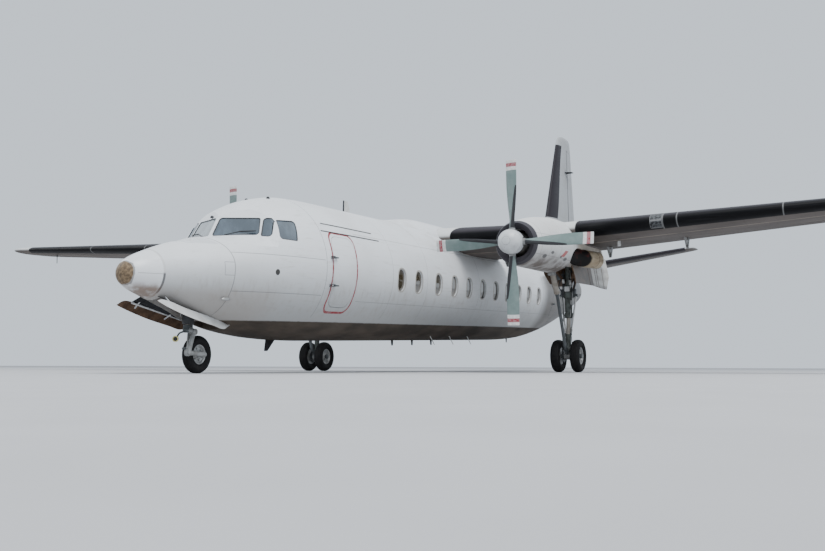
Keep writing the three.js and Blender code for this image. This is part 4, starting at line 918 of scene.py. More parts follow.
# Floor, light and sky
def make_set():
    floor_mesh = bpy.data.meshes.new("floor")
    reach = 160.0
    floor_mesh.from_pydata([(-reach, -reach, 0), (reach, -reach, 0), (reach, reach, 0), (-reach, reach, 0)], [],
                           [(0, 1, 2, 3)])
    floor = new_object("floor", floor_mesh)
    floor.data.materials.append(floor_paint())
    world = bpy.data.worlds.new("soft_sky")
    world.use_nodes = True
    nodes = world.node_tree.nodes
    nodes["Background"].inputs[0].default_value = (0.79, 0.87, 0.96, 1)
    nodes["Background"].inputs[1].default_value = 1.05
    bpy.context.scene.world = world
    for name, place, size, power in LIGHTS:
        lamp = bpy.data.lights.new(name, "AREA")
        lamp.size = size
        lamp.energy = power
        obj = bpy.data.objects.new(name, lamp)
        bpy.context.scene.collection.objects.link(obj)
        obj.matrix_world = Matrix.Translation(place) @ (-Vector(place)).to_track_quat("-Z", "Y").to_matrix().to_4x4()


# Area lights: name, place, size, power
LIGHTS = [
    ("sky_key", (16, 18, 38), 26.0, 17000.0),
    ("sky_fill", (10, -34, 26), 24.0, 4500.0),
]


def floor_paint():
    material = bpy.data.materials.new("floor_paint")
    material.use_nodes = True
    tree = material.node_tree
    bsdf = tree.nodes["Principled BSDF"]
    noise = tree.nodes.new("ShaderNodeTexNoise")
    noise.inputs["Scale"].default_value = 1.4
    noise.inputs["Detail"].default_value = 6.0
    coords = tree.nodes.new("ShaderNodeTexCoord")
    tree.links.new(coords.outputs["Object"], noise.inputs["Vector"])
    ramp = tree.nodes.new("ShaderNodeMix")
    ramp.data_type = "RGBA"
    tree.links.new(noise.outputs["Fac"], ramp.inputs["Factor"])
    ramp.inputs["A"].default_value = (0.46, 0.46, 0.47, 1)
    ramp.inputs["B"].default_value = (0.53, 0.53, 0.54, 1)
    tree.links.new(ramp.outputs["Result"], bsdf.inputs["Base Color"])
    bsdf.inputs["Roughness"].default_value = 0.75
    return material


make_set()


# Forms shared by several pieces
def oval_ring(x, half, top, bottom, wide, sides, centre_y=0.0):
    ring = []
    for j in range(sides):
        angle = 2 * math.pi * j / sides
        rise = top - wide if math.cos(angle) > 0 else wide - bottom
        ring.append((x, centre_y + half * math.sin(angle), wide + rise * math.cos(angle)))
    return ring


def steps(start, stop, step):
    count = max(1, round(abs(stop - start) / step))
    return [start + (stop - start) * i / count for i in range(count)]


BODY_SIDES = 96


def body_ring(x, grow=0.0, rows=BODY_ROWS):
    _, half, top, bottom, wide = row_at(rows, x)
    return oval_ring(x, half + grow, top + grow, bottom - grow, wide, BODY_SIDES)


def body_stations(start, stop):
    """Closer where the body curves in plan and profile."""
    marks = [(start, 0.09), (6.7, 0.5), (-3.7, 0.22)]
    found = []
    for i, (mark, step) in enumerate(marks):
        low = marks[i + 1][0] if i + 1 < len(marks) else stop
        found += steps(min(mark, start), max(low, stop), step) if mark > stop else []
    return found + [stop]


def body_rings(start, stop, grow=0.0, rows=BODY_ROWS):
    return [body_ring(x, grow, rows) for x in body_stations(start, stop)]


def ahead_of_plane(plane, handed, grow):
    """Everything ahead of a window plane and above the foot of the brow."""
    half, top, front = 1.4, 1.5, 10.4
    offset = grow * math.sqrt(1 + plane["side"] ** 2 + plane["rise"] ** 2)

    def at(y, z):
        return plane["at"] + offset - plane["side"] * handed * y - plane["rise"] * z

    rings = [[(at(y, BROW_FOOT), y, BROW_FOOT), (front, y, BROW_FOOT), (front, y, top), (at(y, top), y, top)]
             for y in (-half, half)]
    return loft("ahead_of_plane", rings)


BROW_ROWS = [(row[0], row[1], BROW_TOPS.get(row[0], row[2]), row[3], row[4]) for row in BODY_ROWS]


def nose_form(name, start, stop, grow=0.0):
    """The body from start to stop with its flat cockpit windows."""
    form = loft(name, body_rings(start, stop, grow))
    brow = loft("brow", body_rings(9.95, 7.9, grow, BROW_ROWS))
    planes = [ahead_of_plane(plane, handed, grow) for plane in WINDOW_PLANES for handed in (1, -1)]
    tool = planes[0]
    for plane in planes[1:]:
        boolean(tool, plane, "UNION")
    boolean(tool, brow)
    return boolean(form, tool)


def round_outline(corners, radius, steps_round=5):
    """Closed outline with round corners; the corners go round once."""
    points = []
    count = len(corners)
    for i, corner in enumerate(corners):
        here = Vector(corner)
        before = (Vector(corners[i - 1]) - here).normalized()
        after = (Vector(corners[(i + 1) % count]) - here).normalized()
        half = before.angle(after) / 2
        reach = radius / math.tan(half)
        centre = here + (before + after).normalized() * (radius / math.sin(half))
        start, end = here + before * reach - centre, here + after * reach - centre
        for k in range(steps_round + 1):
            t = k / steps_round
            points.append(centre + start.slerp(end, t).normalized() * radius)
    return points


def widened(outline, grow):
    middle = sum((Vector(p) for p in outline), Vector((0, 0))) / len(outline)
    return [Vector(p) + Vector([math.copysign(grow, p[k] - middle[k]) for k in (0, 1)]) for p in outline]


def prism_x(name, outline, x0, x1):
    return loft(name, [[(x, a, b) for a, b in outline] for x in (x0, x1)])


def prism_y(name, outline, y0, y1):
    return loft(name, [[(a, y, b) for a, b in outline] for y in (y0, y1)])


# Cockpit panes: outlines in front view (y, z) or side view (x, z), all on the port side
PANE_BACK = 8.735
PANES = [
    {"name": "windscreen", "outline": [(0.05, 0.47), (0.745, 0.49), (0.655, 0.795), (0.05, 0.8)], "front": True},
    {"name": "side_window_1", "outline": [(0.8, 0.465), (0.948, 0.461), (0.864, 0.795), (0.72, 0.795)],
     "front": True},
    {"name": "side_window_2", "outline": [(8.86, 0.42), (8.684, 0.762), (8.274, 0.779), (8.453, 0.409)],
     "front": False},
]
SEAL = {"width": 0.014, "depth": 0.004, "pocket": 0.026, "glass": 0.012, "corner": 0.035}


def pane_prism(pane, grow):
    outline = round_outline(widened(pane["outline"], grow), SEAL["corner"] + grow)
    if pane["front"]:
        return prism_x("pane_prism", outline, PANE_BACK, PANE_BACK + 1.1)
    return prism_y("pane_prism", outline, 0.7, 1.6)


def both_sides(obj):
    """The object and its mirror image as one tool."""
    return join(obj.name + "_pair", [mirrored(obj, obj.name + "_other"), obj])


# Cabin windows along the side: middle of each, and their shape
CABIN_WINDOWS = [4.59, 3.74, 2.68, 1.76, 0.86, -0.06, -0.97, -1.86, -2.76, -3.62, -4.52]
CABIN_WINDOW = {"z": -0.105, "half_wide": 0.175, "half_high": 0.235, "rim": 0.03, "pocket": 0.05, "glass": 0.036}


def window_prisms(name, grow, low, high):
    """Upright ovals through the port side of the body, one for each cabin window."""
    prisms = []
    for i, x in enumerate(CABIN_WINDOWS):
        wide = CABIN_WINDOW["half_wide"] + grow
        tall = CABIN_WINDOW["half_high"] + grow
        outline = []
        for j in range(32):
            angle = 2 * math.pi * j / 32
            square = 0.75
            outline.append((x + wide * math.copysign(abs(math.cos(angle)) ** square, math.cos(angle)),
                            CABIN_WINDOW["z"] + tall * math.copysign(abs(math.sin(angle)) ** square, math.sin(angle))))
        prisms.append(prism_y(name + str(i), outline, low, high))
    return join(name, prisms)


DOOR = {"thick": 0.06, "bevel": 0.34, "gap": 0.008, "out_y": 1.5, "in_y": 0.7, "hinge_out": 0.034, "pin": 0.009}
LUG = {"back": 0.018, "front": 0.06, "half": 0.022, "slot": 0.014, "tongue": 0.0115, "reach": 0.14,
       "shares": (0.32, 0.68), "play": 0.0016}


def door_wedge(door, inset):
    skin_y = row_at(BODY_ROWS, door["x"])[1]
    rings = []
    for y in (DOOR["out_y"], DOOR["in_y"]):
        shrink = inset + (skin_y - y) * DOOR["bevel"]
        half = door["half"] - shrink
        low, high = door["bottom"] + shrink, door["top"] - shrink
        corners = [(door["x"] - half, low), (door["x"] + half, low), (door["x"] + half, high), (door["x"] - half, high)]
        rings.append([(a, y, b) for a, b in round_outline(corners, DOOR_CORNER, 8)])
    return loft("door_wedge", rings)


def body_half_width(x, z):
    _, half, top, bottom, wide = row_at(BODY_ROWS, x)
    rise = top - wide if z > wide else wide - bottom
    return half * math.sqrt(max(0.0, 1 - ((z - wide) / rise) ** 2))


NOSE_BAY = {"x0": 9.38, "x1": 10.96, "front": 0.17, "back": 0.235, "top": -0.42}
FAIRING_ROWS = [(3.5, 0.06, 1.405), (2.8, 0.46, 1.47), (1.7, 0.86, 1.59), (-0.6, 0.9, 1.56), (-3.0, 0.3, 1.415)]


def body_walls(centre):
    """Slot of a wall inside the body: window reveal, seal or bay."""
    if centre.x > 8.2 and centre.z > 0.3:
        return 2
    if abs(centre.z - CABIN_WINDOW["z"]) < 0.3 and -5 < centre.x < 5 and abs(centre.y) > 1.2:
        return 1
    return 3


def make_body():
    whole = Skin("whole_body", body_rings(NOSE_X, TAIL_X))
    nose = nose_form("body_skin", RADOME_X - GAP / 2, TAIL_X)
    brow = Skin("brow_skin", body_rings(9.95, 7.9, 0.0, BROW_ROWS))
    flats = [flat_skin(ahead_of_plane(plane, handed, 0.0)) for plane in WINDOW_PLANES for handed in (1, -1)]
    fairing_rings = [oval_ring(x, *row_at(FAIRING_ROWS, x)[1:], 0.7, 0.9, 64) for x in steps(3.5, -3.0, 0.18) + [-3.0]]
    fairing = Skin("fairing_skin", fairing_rings)
    boolean(nose, fairing.take("fairing"), "UNION")

    # cockpit panes
    pocket_floor = nose_form("pocket_floor", 9.95, 8.0, -SEAL["pocket"])
    seal_top = nose_form("seal_top", 9.95, 8.0, -SEAL["depth"])
    glass_top = nose_form("glass_top", 9.95, 8.0, -SEAL["glass"])
    for pane in PANES:
        wide = boolean(pane_prism(pane, SEAL["width"]), pocket_floor, keep_tool=True)
        boolean(nose, both_sides(copy_of(wide, "pocket_tool")))
        seal = boolean(copy_of(wide, pane["name"] + "_seal"), seal_top, "INTERSECT", keep_tool=True)
        boolean(seal, pane_prism(pane, 0.0))
        glass = boolean(pane_prism(pane, 0.0), glass_top, "INTERSECT", keep_tool=True)
        boolean(glass, pocket_floor, keep_tool=True)
        remove(wide)
        for side in SIDES:
            parts = []
            for obj, kind in ((glass, "glass"), (seal, "seal")):
                name = pane["name"] + "_" + kind + "_" + side
                parts.append(copy_of(obj, name) if side == "port" else mirrored(obj, name))
            # the starboard windscreen takes a pale copy of the glass: painted reflection
            tint = "cockpit_glass" if side == "port" or pane["name"] != "windscreen" else "cockpit_glass_painted_reflection"
            put(parts[0], "airframe", M[tint], [pane["name"] + "_" + side], angle=20)
            put(parts[1], "airframe", M["seal"], angle=20)
        remove(glass)
        remove(seal)
    for tool in (pocket_floor, seal_top, glass_top):
        remove(tool)

    # cabin windows
    floor_form = loft("window_floor", body_rings(6.4, -6.4, -CABIN_WINDOW["pocket"]))
    tool = boolean(window_prisms("windows", 0.0, 0.9, 1.5), floor_form, keep_tool=True)
    boolean(nose, both_sides(tool))
    glass_form = loft("window_glass_form", body_rings(6.4, -6.4, -CABIN_WINDOW["glass"]))
    glass = boolean(window_prisms("cabin_glass", -0.001, 0.9, 1.5), glass_form, "INTERSECT")
    boolean(glass, floor_form)
    rim_out = loft("rim_out", body_rings(6.4, -6.4, 0.0025))
    rim = boolean(window_prisms("cabin_rim", CABIN_WINDOW["rim"], 0.9, 1.5), rim_out, "INTERSECT")
    boolean(rim, window_prisms("rim_hole", 0.0, 0.8, 1.6))
    boolean(rim, loft("rim_back", body_rings(6.4, -6.4, -0.004)))
    for obj, material, slot in ((glass, "cabin_glass", "cockpit_glass"), (rim, "rim_ring", "grey_paint")):
        other = mirrored(obj, obj.name + "_starboard")
        obj.name = obj.name + "_port"
        put(obj, "airframe", M[material])
        put(other, "airframe", M[material])

    # nose gear bay and doorways
    at = NOSE_BAY
    boolean(nose, loft("nose_bay", [[(at["x1"], -at["front"], z), (at["x1"], at["front"], z),
                                     (at["x0"], at["back"], z), (at["x0"], -at["back"], z)]
                                    for z in (-2, at["top"])]))
    core = loft("door_core", body_rings(9.0, -9.0, -DOOR["thick"]))
    shell = loft("door_shell", body_rings(9.0, -9.0, 0.0))
    inner = loft("door_inner", body_rings(9.0, -9.0, -DOOR["thick"] + GAP))
    for name, door in DOORS.items():
        doorway = boolean(door_wedge(door, 0.0), core, keep_tool=True)
        leaf = boolean(door_wedge(door, DOOR["gap"]), shell, "INTERSECT", keep_tool=True)
        boolean(leaf, inner, keep_tool=True)
        if door["side"] < 0:
            doorway, port_side = mirrored(doorway, "doorway"), doorway
            remove(port_side)
            leaf, port_side = mirrored(leaf, "leaf"), leaf
            remove(port_side)
        boolean(nose, doorway)
        leaf.name = name + "_panel"
        dress(leaf, [whole])
        settle(leaf, name, [M["body"], M["seal"]], [name])
        make_hinges(name, door)
    for tool in (core, shell, inner):
        remove(tool)

    dress(nose, [whole, brow, fairing] + flats, body_walls)
    settle(nose, "airframe", [M["body"], M["reveal"], M["seal"], M["cavity"]], ["fuselage", "rear_fuselage"])
    for skin in [brow, fairing] + flats:
        skin.close()
    radome = loft("radome_skin", [body_ring(x) for x in nose_tip_stations()])
    dress(radome, [whole])
    settle(radome, "airframe", [M["radome"], M["seam"]], ["radome"])
    whole.close()


def nose_tip_stations():
    """Closer towards the blunt tip."""
    length = NOSE_X - RADOME_X - GAP / 2
    return [NOSE_X - length * (i / 26) ** 2 for i in range(27)]


def make_hinges(name, door):
    """Two fittings at the front edge of a door: ears on the body, a tongue on the door, and the pin."""
    x = door["x"] + door["half"] + 0.03
    y = row_at(BODY_ROWS, x)[1] + DOOR["hinge_out"]
    ears, tongues = [], []
    for share in LUG["shares"]:
        z = door["bottom"] + share * (door["top"] - door["bottom"])
        skin = body_half_width(door["x"] + door["half"], z)
        for handed in (1, -1):
            low, high = sorted((z + handed * LUG["slot"], z + handed * LUG["half"]))
            plate = block("ear", (x - LUG["back"], skin - 0.015, low), (x + LUG["front"], y + 0.016, high))
            ears.append(bevel(plate, 0.003))
        ears.append(rod("pin", (x, y, z - LUG["half"] + 0.002), (x, y, z + LUG["half"] - 0.002), DOOR["pin"], 16))
        root = body_half_width(x - 0.11, z)
        bar = block("bar", (x - LUG["reach"], y - LUG["tongue"], z - LUG["tongue"]),
                    (x + 0.016, y + LUG["tongue"], z + LUG["tongue"]))
        hole = rod("hole", (x, y, z - 0.03), (x, y, z + 0.03), DOOR["pin"] + LUG["play"], 24)
        foot = block("foot", (x - LUG["reach"], root - 0.01, z - LUG["tongue"]),
                     (x - 0.082, y + LUG["tongue"], z + LUG["tongue"]))
        tongues.append(boolean(boolean(bar, foot, "UNION"), hole))
    pieces = [(join(name + "_hinge_ears", ears), "airframe"), (join(name + "_hinge_arms", tongues), name)]
    for obj, body in pieces:
        if door["side"] < 0:
            flipped = mirrored(obj, obj.name + "_fitted")
            remove(obj)
            obj = flipped
        put(obj, body, M["gear_dark"])


# pale copy of the cockpit glass for the starboard windscreen: painted reflection
M["cockpit_glass_painted_reflection"] = dark_glass("cockpit_glass_painted_reflection", (0.26, 0.29, 0.30), 0.12)
make_body()


# Lifting surfaces
def depth_share(t):
    return 5 * (0.2969 * math.sqrt(t) - 0.126 * t - 0.3516 * t ** 2 + 0.2843 * t ** 3 - 0.1015 * t ** 4)


SECTION_SIDES = 28


def section_ring(place, x, z, chord, thick, camber, twist, sides=SECTION_SIDES):
    """Outline of a section from the trailing edge over the top and back below."""
    ring = []
    turn = math.radians(twist)
    for j in range(2 * sides):
        t = 0.5 * (1 + math.cos(math.pi * j / sides))
        half = thick * depth_share(t) + 0.002 * t
        up = (4 * camber * t * (1 - t) + (half if j <= sides else -half)) * chord
        along = -t * chord
        ring.append(place(x + along * math.cos(turn) + up * math.sin(turn),
                          z + along * math.sin(turn) + up * math.cos(turn)))
    return ring


def wing_at(y):
    s = abs(y) / HALF_SPAN
    chord = WING["root_chord"] + (WING["tip_chord"] - WING["root_chord"]) * s
    height = WING["root_z"] + WING["dihedral"] * max(abs(y), WING["level_to"])
    return {"x": WING["quarter_x"] + chord / 4, "z": height, "chord": chord,
            "thick": WING["root_thick"] + (WING["tip_thick"] - WING["root_thick"]) * s, "camber": WING["camber"],
            "twist": WING["root_twist"] + (WING["tip_twist"] - WING["root_twist"]) * s}


def trimmed(section, left, share):
    cut = section["chord"] * (1 - left)
    return {**section, "x": section["x"] - cut * share, "chord": section["chord"] - cut,
            "thick": section["thick"] * left}


# Tips: share of the tip's length, share of the chord left there
WING_TIP = [(0, 1), (0.5, 0.96), (0.85, 0.8), (1, 0.45)]
TAIL_TIP = [(0, 1), (0.5, 0.95), (0.85, 0.8), (1, 0.55)]
FIN_TIP = [(0, 1), (0.5, 0.96), (0.85, 0.84), (1, 0.6)]


def tip_rings(rows, ring_at):
    """Rings round a tip, closer towards its end."""
    shares = [0, 0.12, 0.25, 0.38, 0.5, 0.6, 0.69, 0.77, 0.85, 0.9, 0.94, 0.97, 0.99, 1]
    down = [(-share, left) for share, left in rows]
    return [ring_at(share, row_at(down, -share)[1]) for share in shares]


def wing_ring(y, left=1.0):
    return section_ring(lambda x, z: (x, y, z), **trimmed(wing_at(y), left, 0.45))


def wing_rings(y0, y1):
    rings = [wing_ring(y) for y in steps(y0, min(y1, WING_TIP_START), 1.2)]
    if y1 < HALF_SPAN:
        return rings + [wing_ring(y1)]
    tip = HALF_SPAN - WING_TIP_START
    return rings + tip_rings(WING_TIP, lambda share, left: wing_ring(WING_TIP_START + share * tip, left))


def wing_middle(y, share):
    at = wing_at(y)
    along = -share * at["chord"]
    up = 4 * at["camber"] * share * (1 - share) * at["chord"]
    turn = math.radians(at["twist"])
    return Vector((at["x"] + along * math.cos(turn) + up * math.sin(turn), y,
                   at["z"] + along * math.sin(turn) + up * math.cos(turn)))


def wing_half_depth(y, t):
    at = wing_at(y)
    return at["thick"] * at["chord"] * depth_share(t)


HINGE_SIDES = 48
NOSE_FILL = 0.96


def square_block(axis, a, b, ahead_a=0.0, ahead_b=None):
    """Everything behind a line from a to b, between end faces square to that line."""
    aft = (Vector((-1, 0, 0)) + axis * axis.x).normalized()
    up = axis.cross(aft)
    long, high = 3.0, 0.9
    rings = []
    for point, ahead in ((a, ahead_a), (b, ahead_a if ahead_b is None else ahead_b)):
        corners = ((-ahead, -high), (long, -high), (long, high), (-ahead, high))
        rings.append([Vector(point) + aft * back + up * rise for back, rise in corners])
    return loft("square_block", rings)


def behind_hinge(a, b, radius_a, radius_b, ahead_a=0.0, ahead_b=0.0):
    axis = (b - a).normalized()
    nose = rod("hinge_nose", a, b, radius_a, HINGE_SIDES, radius_b)
    return boolean(nose, square_block(axis, a, b, ahead_a, ahead_b), "UNION")


def span_step(start, end, distance):
    return start + (end - start) * (distance / abs(end.y - start.y))


def hinged_along_span(fixed, whole, y0, y1, hinge, swing, name):
    """Cuts the notch of a moving surface out of fixed, and returns that surface."""
    (a, radius_a), (b, radius_b) = hinge(y0), hinge(y1)

    def notch_radius(radius):
        return (radius / NOSE_FILL + RUNNING_GAP) / math.cos(math.pi / 16)

    def ahead(radius):
        return radius / NOSE_FILL * math.tan(math.radians(swing)) + RUNNING_GAP

    boolean(fixed, behind_hinge(a, b, notch_radius(radius_a), notch_radius(radius_b), ahead(radius_a),
                                ahead(radius_b)))
    inner, outer = span_step(a, b, RUNNING_GAP), span_step(b, a, RUNNING_GAP)
    piece = boolean(copy_of(whole, name), behind_hinge(inner, outer, radius_a, radius_b), "INTERSECT")
    return boolean(piece, rod("nose", inner, outer, radius_a, HINGE_SIDES, radius_b), "UNION")


AILERON = {"y0": 9.06, "y1": 13.56, "share": 0.74, "swing": 20}
FLAP_OUTER = {"y0": 4.4, "y1": 8.96, "share": 0.72, "brackets": (4.5, 6.4)}
FLAP_INNER = {"y0": 1.52, "y1": 2.96, "share": 0.72, "brackets": (1.72, 2.7)}
FLAP_HINGE_DROP = 0.23
BRACKET = {"thick": 0.024, "side": 0.006, "radius": 0.034, "pin": 0.012}


def aileron_hinge(y):
    return wing_middle(y, AILERON["share"]), wing_half_depth(y, AILERON["share"]) * NOSE_FILL


def flap_hinge(y, share):
    return wing_middle(y, share) + Vector((-0.02, 0, -wing_half_depth(y, share) - FLAP_HINGE_DROP))


def plate_y(name, y, outline, thick):
    return prism_y(name, outline, y - thick / 2, y + thick / 2)


def flap_arms(y, share, pin_line):
    """The wing's bracket with its pin, and the flap's arm, at one span position."""
    at = flap_hinge(y, share)
    low = (wing_middle(y, share).z - wing_half_depth(y, share))
    thick, side, radius, pin = (BRACKET[k] for k in ("thick", "side", "radius", "pin"))

    def on_pin(where):
        return at + pin_line * ((where - y) / pin_line.y)

    def along(low_y, high_y, r):
        return rod("along", on_pin(low_y), on_pin(high_y), r, 24)

    outline = [(at.x + 0.33, low + 0.02), (at.x + 0.11, low + 0.06), (at.x + 0.06, low + 0.06),
               (at.x - 0.02, at.z + 0.022), (at.x + 0.025, at.z - 0.025)]
    hole = along(y - thick, y + thick / 2 + 0.003, pin + 0.0005)
    arm = boolean(plate_y("bracket", y, outline, thick), along(y - thick / 2, y + thick / 2, radius), "UNION")
    fixed = bevel(boolean(arm, hole), 0.003, 2, 60)
    flap_y = y + thick + side
    outline = [(at.x + 0.005, low + 0.03), (at.x - 0.22, low + 0.06), (at.x - 0.025, at.z - 0.02),
               (at.x + 0.025, at.z + 0.01)]
    moving = boolean(plate_y("flap_arm", flap_y, outline, thick),
                     along(flap_y - thick / 2, flap_y + thick / 2, radius), "UNION")
    moving = bevel(moving, 0.003, 2, 60)
    boolean(moving, along(y - thick / 2 - side, flap_y, pin), "UNION")
    return fixed, moving


def flap_cut(fixed, whole, flap, name):
    """Cuts the flap out of fixed; returns the flap, its arms and the wing's brackets."""
    share = flap["share"]
    pins = [flap_hinge(y, share) for y in flap["brackets"]]
    pin_line = (pins[1] - pins[0]).normalized()

    def behind(y0, y1, ahead):
        return square_block(pin_line, wing_middle(y0, share), wing_middle(y1, share), ahead)

    boolean(fixed, behind(flap["y0"], flap["y1"], RUNNING_GAP))
    leaf = boolean(copy_of(whole, name), behind(flap["y0"] + RUNNING_GAP, flap["y1"] - RUNNING_GAP, 0.0), "INTERSECT")
    arms = [flap_arms(y, share, pin_line) for y in flap["brackets"]]
    return leaf, join(name + "_arms", [arm[1] for arm in arms]), join(name + "_brackets", [arm[0] for arm in arms])


def finish_pair(piece, name, bodies, materials, nodes, skin, walls=lambda centre: 1, dressed=True):
    """Port piece and its mirror image, dressed, in place and riding on their bodies."""
    for side in SIDES:
        obj = copy_of(piece, name + "_" + side) if side == "port" else mirrored(piece, name + "_" + side)
        body = bodies.format(side)
        if dressed:
            here = skin if side == "port" else skin.other_side("skin_" + name)
            dress(obj, [here], walls)
            settle(obj, body, materials, [node.format(side) for node in nodes])
            if side == "starboard":
                here.close()
        else:
            put(obj, body, materials[0], [node.format(side) for node in nodes])
    remove(piece)


def make_wings():
    skin = Skin("outer_wing", wing_rings(OUTER_JOINT + GAP / 2, HALF_SPAN))
    wing = skin.take("outer_wing_work")
    flap, arms, brackets = flap_cut(wing, skin.obj, FLAP_OUTER, "flap_outer_leaf")
    aileron = hinged_along_span(wing, skin.obj, AILERON["y0"], AILERON["y1"], aileron_hinge, AILERON["swing"],
                                "aileron_leaf")
    pad = rod("jack_pad", (0.42, 5.0, 0.79), (0.42, 5.0, 1.05), 0.05, 24)
    bevel(pad, 0.006)
    finish_pair(wing, "wing_skin", "airframe", [M["wing"], M["cavity"]], ["wing_{}"], skin)
    finish_pair(flap, "flap_outer_skin", "flap_outer_{}", [M["wing"], M["wing_dark"]], ["flap_outer_{}"], skin)
    finish_pair(aileron, "aileron_skin", "aileron_{}", [M["wing"], M["wing_dark"]], ["aileron_{}"], skin)
    finish_pair(arms, "flap_outer_arms", "flap_outer_{}", [M["gear_grey"]], [], None, dressed=False)
    finish_pair(brackets, "flap_outer_brackets", "airframe", [M["gear_grey"]], [], None, dressed=False)
    finish_pair(pad, "wing_jack_pad", "airframe", [M["metal"]], [], None, dressed=False)
    skin.close()

    end, level = OUTER_JOINT - GAP / 2, WING["level_to"]
    marks = steps(-end, -level, 0.35) + steps(-level, level, 0.6) + steps(level, end, 0.35) + [end]
    skin = Skin("centre_wing", [wing_ring(y) for y in marks])
    centre = skin.take("wing_centre_skin")
    flap, arms, brackets = flap_cut(centre, skin.obj, FLAP_INNER, "flap_inner_leaf")
    starboard = mirrored(centre, "wing_centre_other")
    remove(centre)
    spare = flap_cut(starboard, skin.obj, FLAP_INNER, "spare")
    for piece in spare:
        remove(piece)
    centre = mirrored(starboard, "wing_centre_skin")
    remove(starboard)
    dress(centre, [skin])
    settle(centre, "airframe", [M["wing"], M["cavity"]], ["wing_centre"])
    finish_pair(flap, "flap_inner_skin", "flap_inner_{}", [M["wing"], M["wing_dark"]], ["flap_inner_{}"], skin)
    finish_pair(arms, "flap_inner_arms", "flap_inner_{}", [M["gear_grey"]], [], None, dressed=False)
    finish_pair(brackets, "flap_inner_brackets", "airframe", [M["gear_grey"]], [], None, dressed=False)
    skin.close()


# Tail
TAILPLANE = {"lead_root": -9.45, "lead_tip": -10.23, "trail_root": -11.72, "trail_tip": -11.33, "z": 0.969,
             "dihedral": 0.1416, "thick": 0.12, "tip_start": 4.56, "tip": 4.875}
FIN = {"foot": 1.0, "top": 6.11, "lead_at": 2.943, "lead_x": -9.5, "sweep": 0.45, "trail_at": 3.3,
       "trail_x": -12.8, "trail_lean": 0.14, "thick": 0.11, "tip_start": 5.7}
ELEVATOR = {"y0": 0.7, "y1": 4.5, "share": 0.66, "swing": 25}
RUDDER = {"z0": 1.29, "z1": 5.64, "root_share": 0.69, "top_share": 0.6, "swing": 25}
DORSAL_ROWS = [(-4.3, 1.41, 0.04), (-6.3, 1.72, 0.11), (-8.0, 2.12, 0.17), (-9.2, 2.7, 0.2),
               (-9.57, 2.96, 0.2), (-10.05, 2.7, 0.18)]


def tailplane_at(y):
    s = y / TAILPLANE["tip"]
    lead = TAILPLANE["lead_root"] + (TAILPLANE["lead_tip"] - TAILPLANE["lead_root"]) * s
    trail = TAILPLANE["trail_root"] + (TAILPLANE["trail_tip"] - TAILPLANE["trail_root"]) * s
    return {"x": lead, "z": TAILPLANE["z"] + TAILPLANE["dihedral"] * y, "chord": lead - trail,
            "thick": TAILPLANE["thick"], "camber": 0.0, "twist": 0.0}


def tailplane_ring(y, left=1.0):
    return section_ring(lambda x, z: (x, y, z), **trimmed(tailplane_at(y), left, 0.7))


def tailplane_hinge(y):
    at = tailplane_at(y)
    t = ELEVATOR["share"]
    return Vector((at["x"] - t * at["chord"], y, at["z"])), at["thick"] * at["chord"] * depth_share(t) * NOSE_FILL


def fin_at(z):
    lead = FIN["lead_x"] - (z - FIN["lead_at"]) * FIN["sweep"]
    trail = FIN["trail_x"] + (z - FIN["trail_at"]) * FIN["trail_lean"]
    return {"x": lead, "z": 0.0, "chord": lead - trail, "thick": FIN["thick"], "camber": 0.0, "twist": 0.0}


def fin_ring(z, left=1.0):
    return section_ring(lambda x, across: (x, z, across), **trimmed(fin_at(z), left, 0.7))


def fin_hinge(z):
    at, root, top = fin_at(z), fin_at(RUDDER["z0"]), fin_at(RUDDER["z1"])
    foot_x = root["x"] - root["chord"] * RUDDER["root_share"]
    top_x = top["x"] - top["chord"] * RUDDER["top_share"]
    hinge_x = foot_x + (top_x - foot_x) * (z - RUDDER["z0"]) / (RUDDER["z1"] - RUDDER["z0"])
    t = (at["x"] - hinge_x) / at["chord"]
    return Vector((hinge_x, z, 0)), at["thick"] * at["chord"] * depth_share(t) * NOSE_FILL


def upright(obj):
    """Turns a surface drawn lying along the span to stand."""
    obj.data.transform(Matrix.Rotation(math.pi / 2, 4, "X"))
    return obj


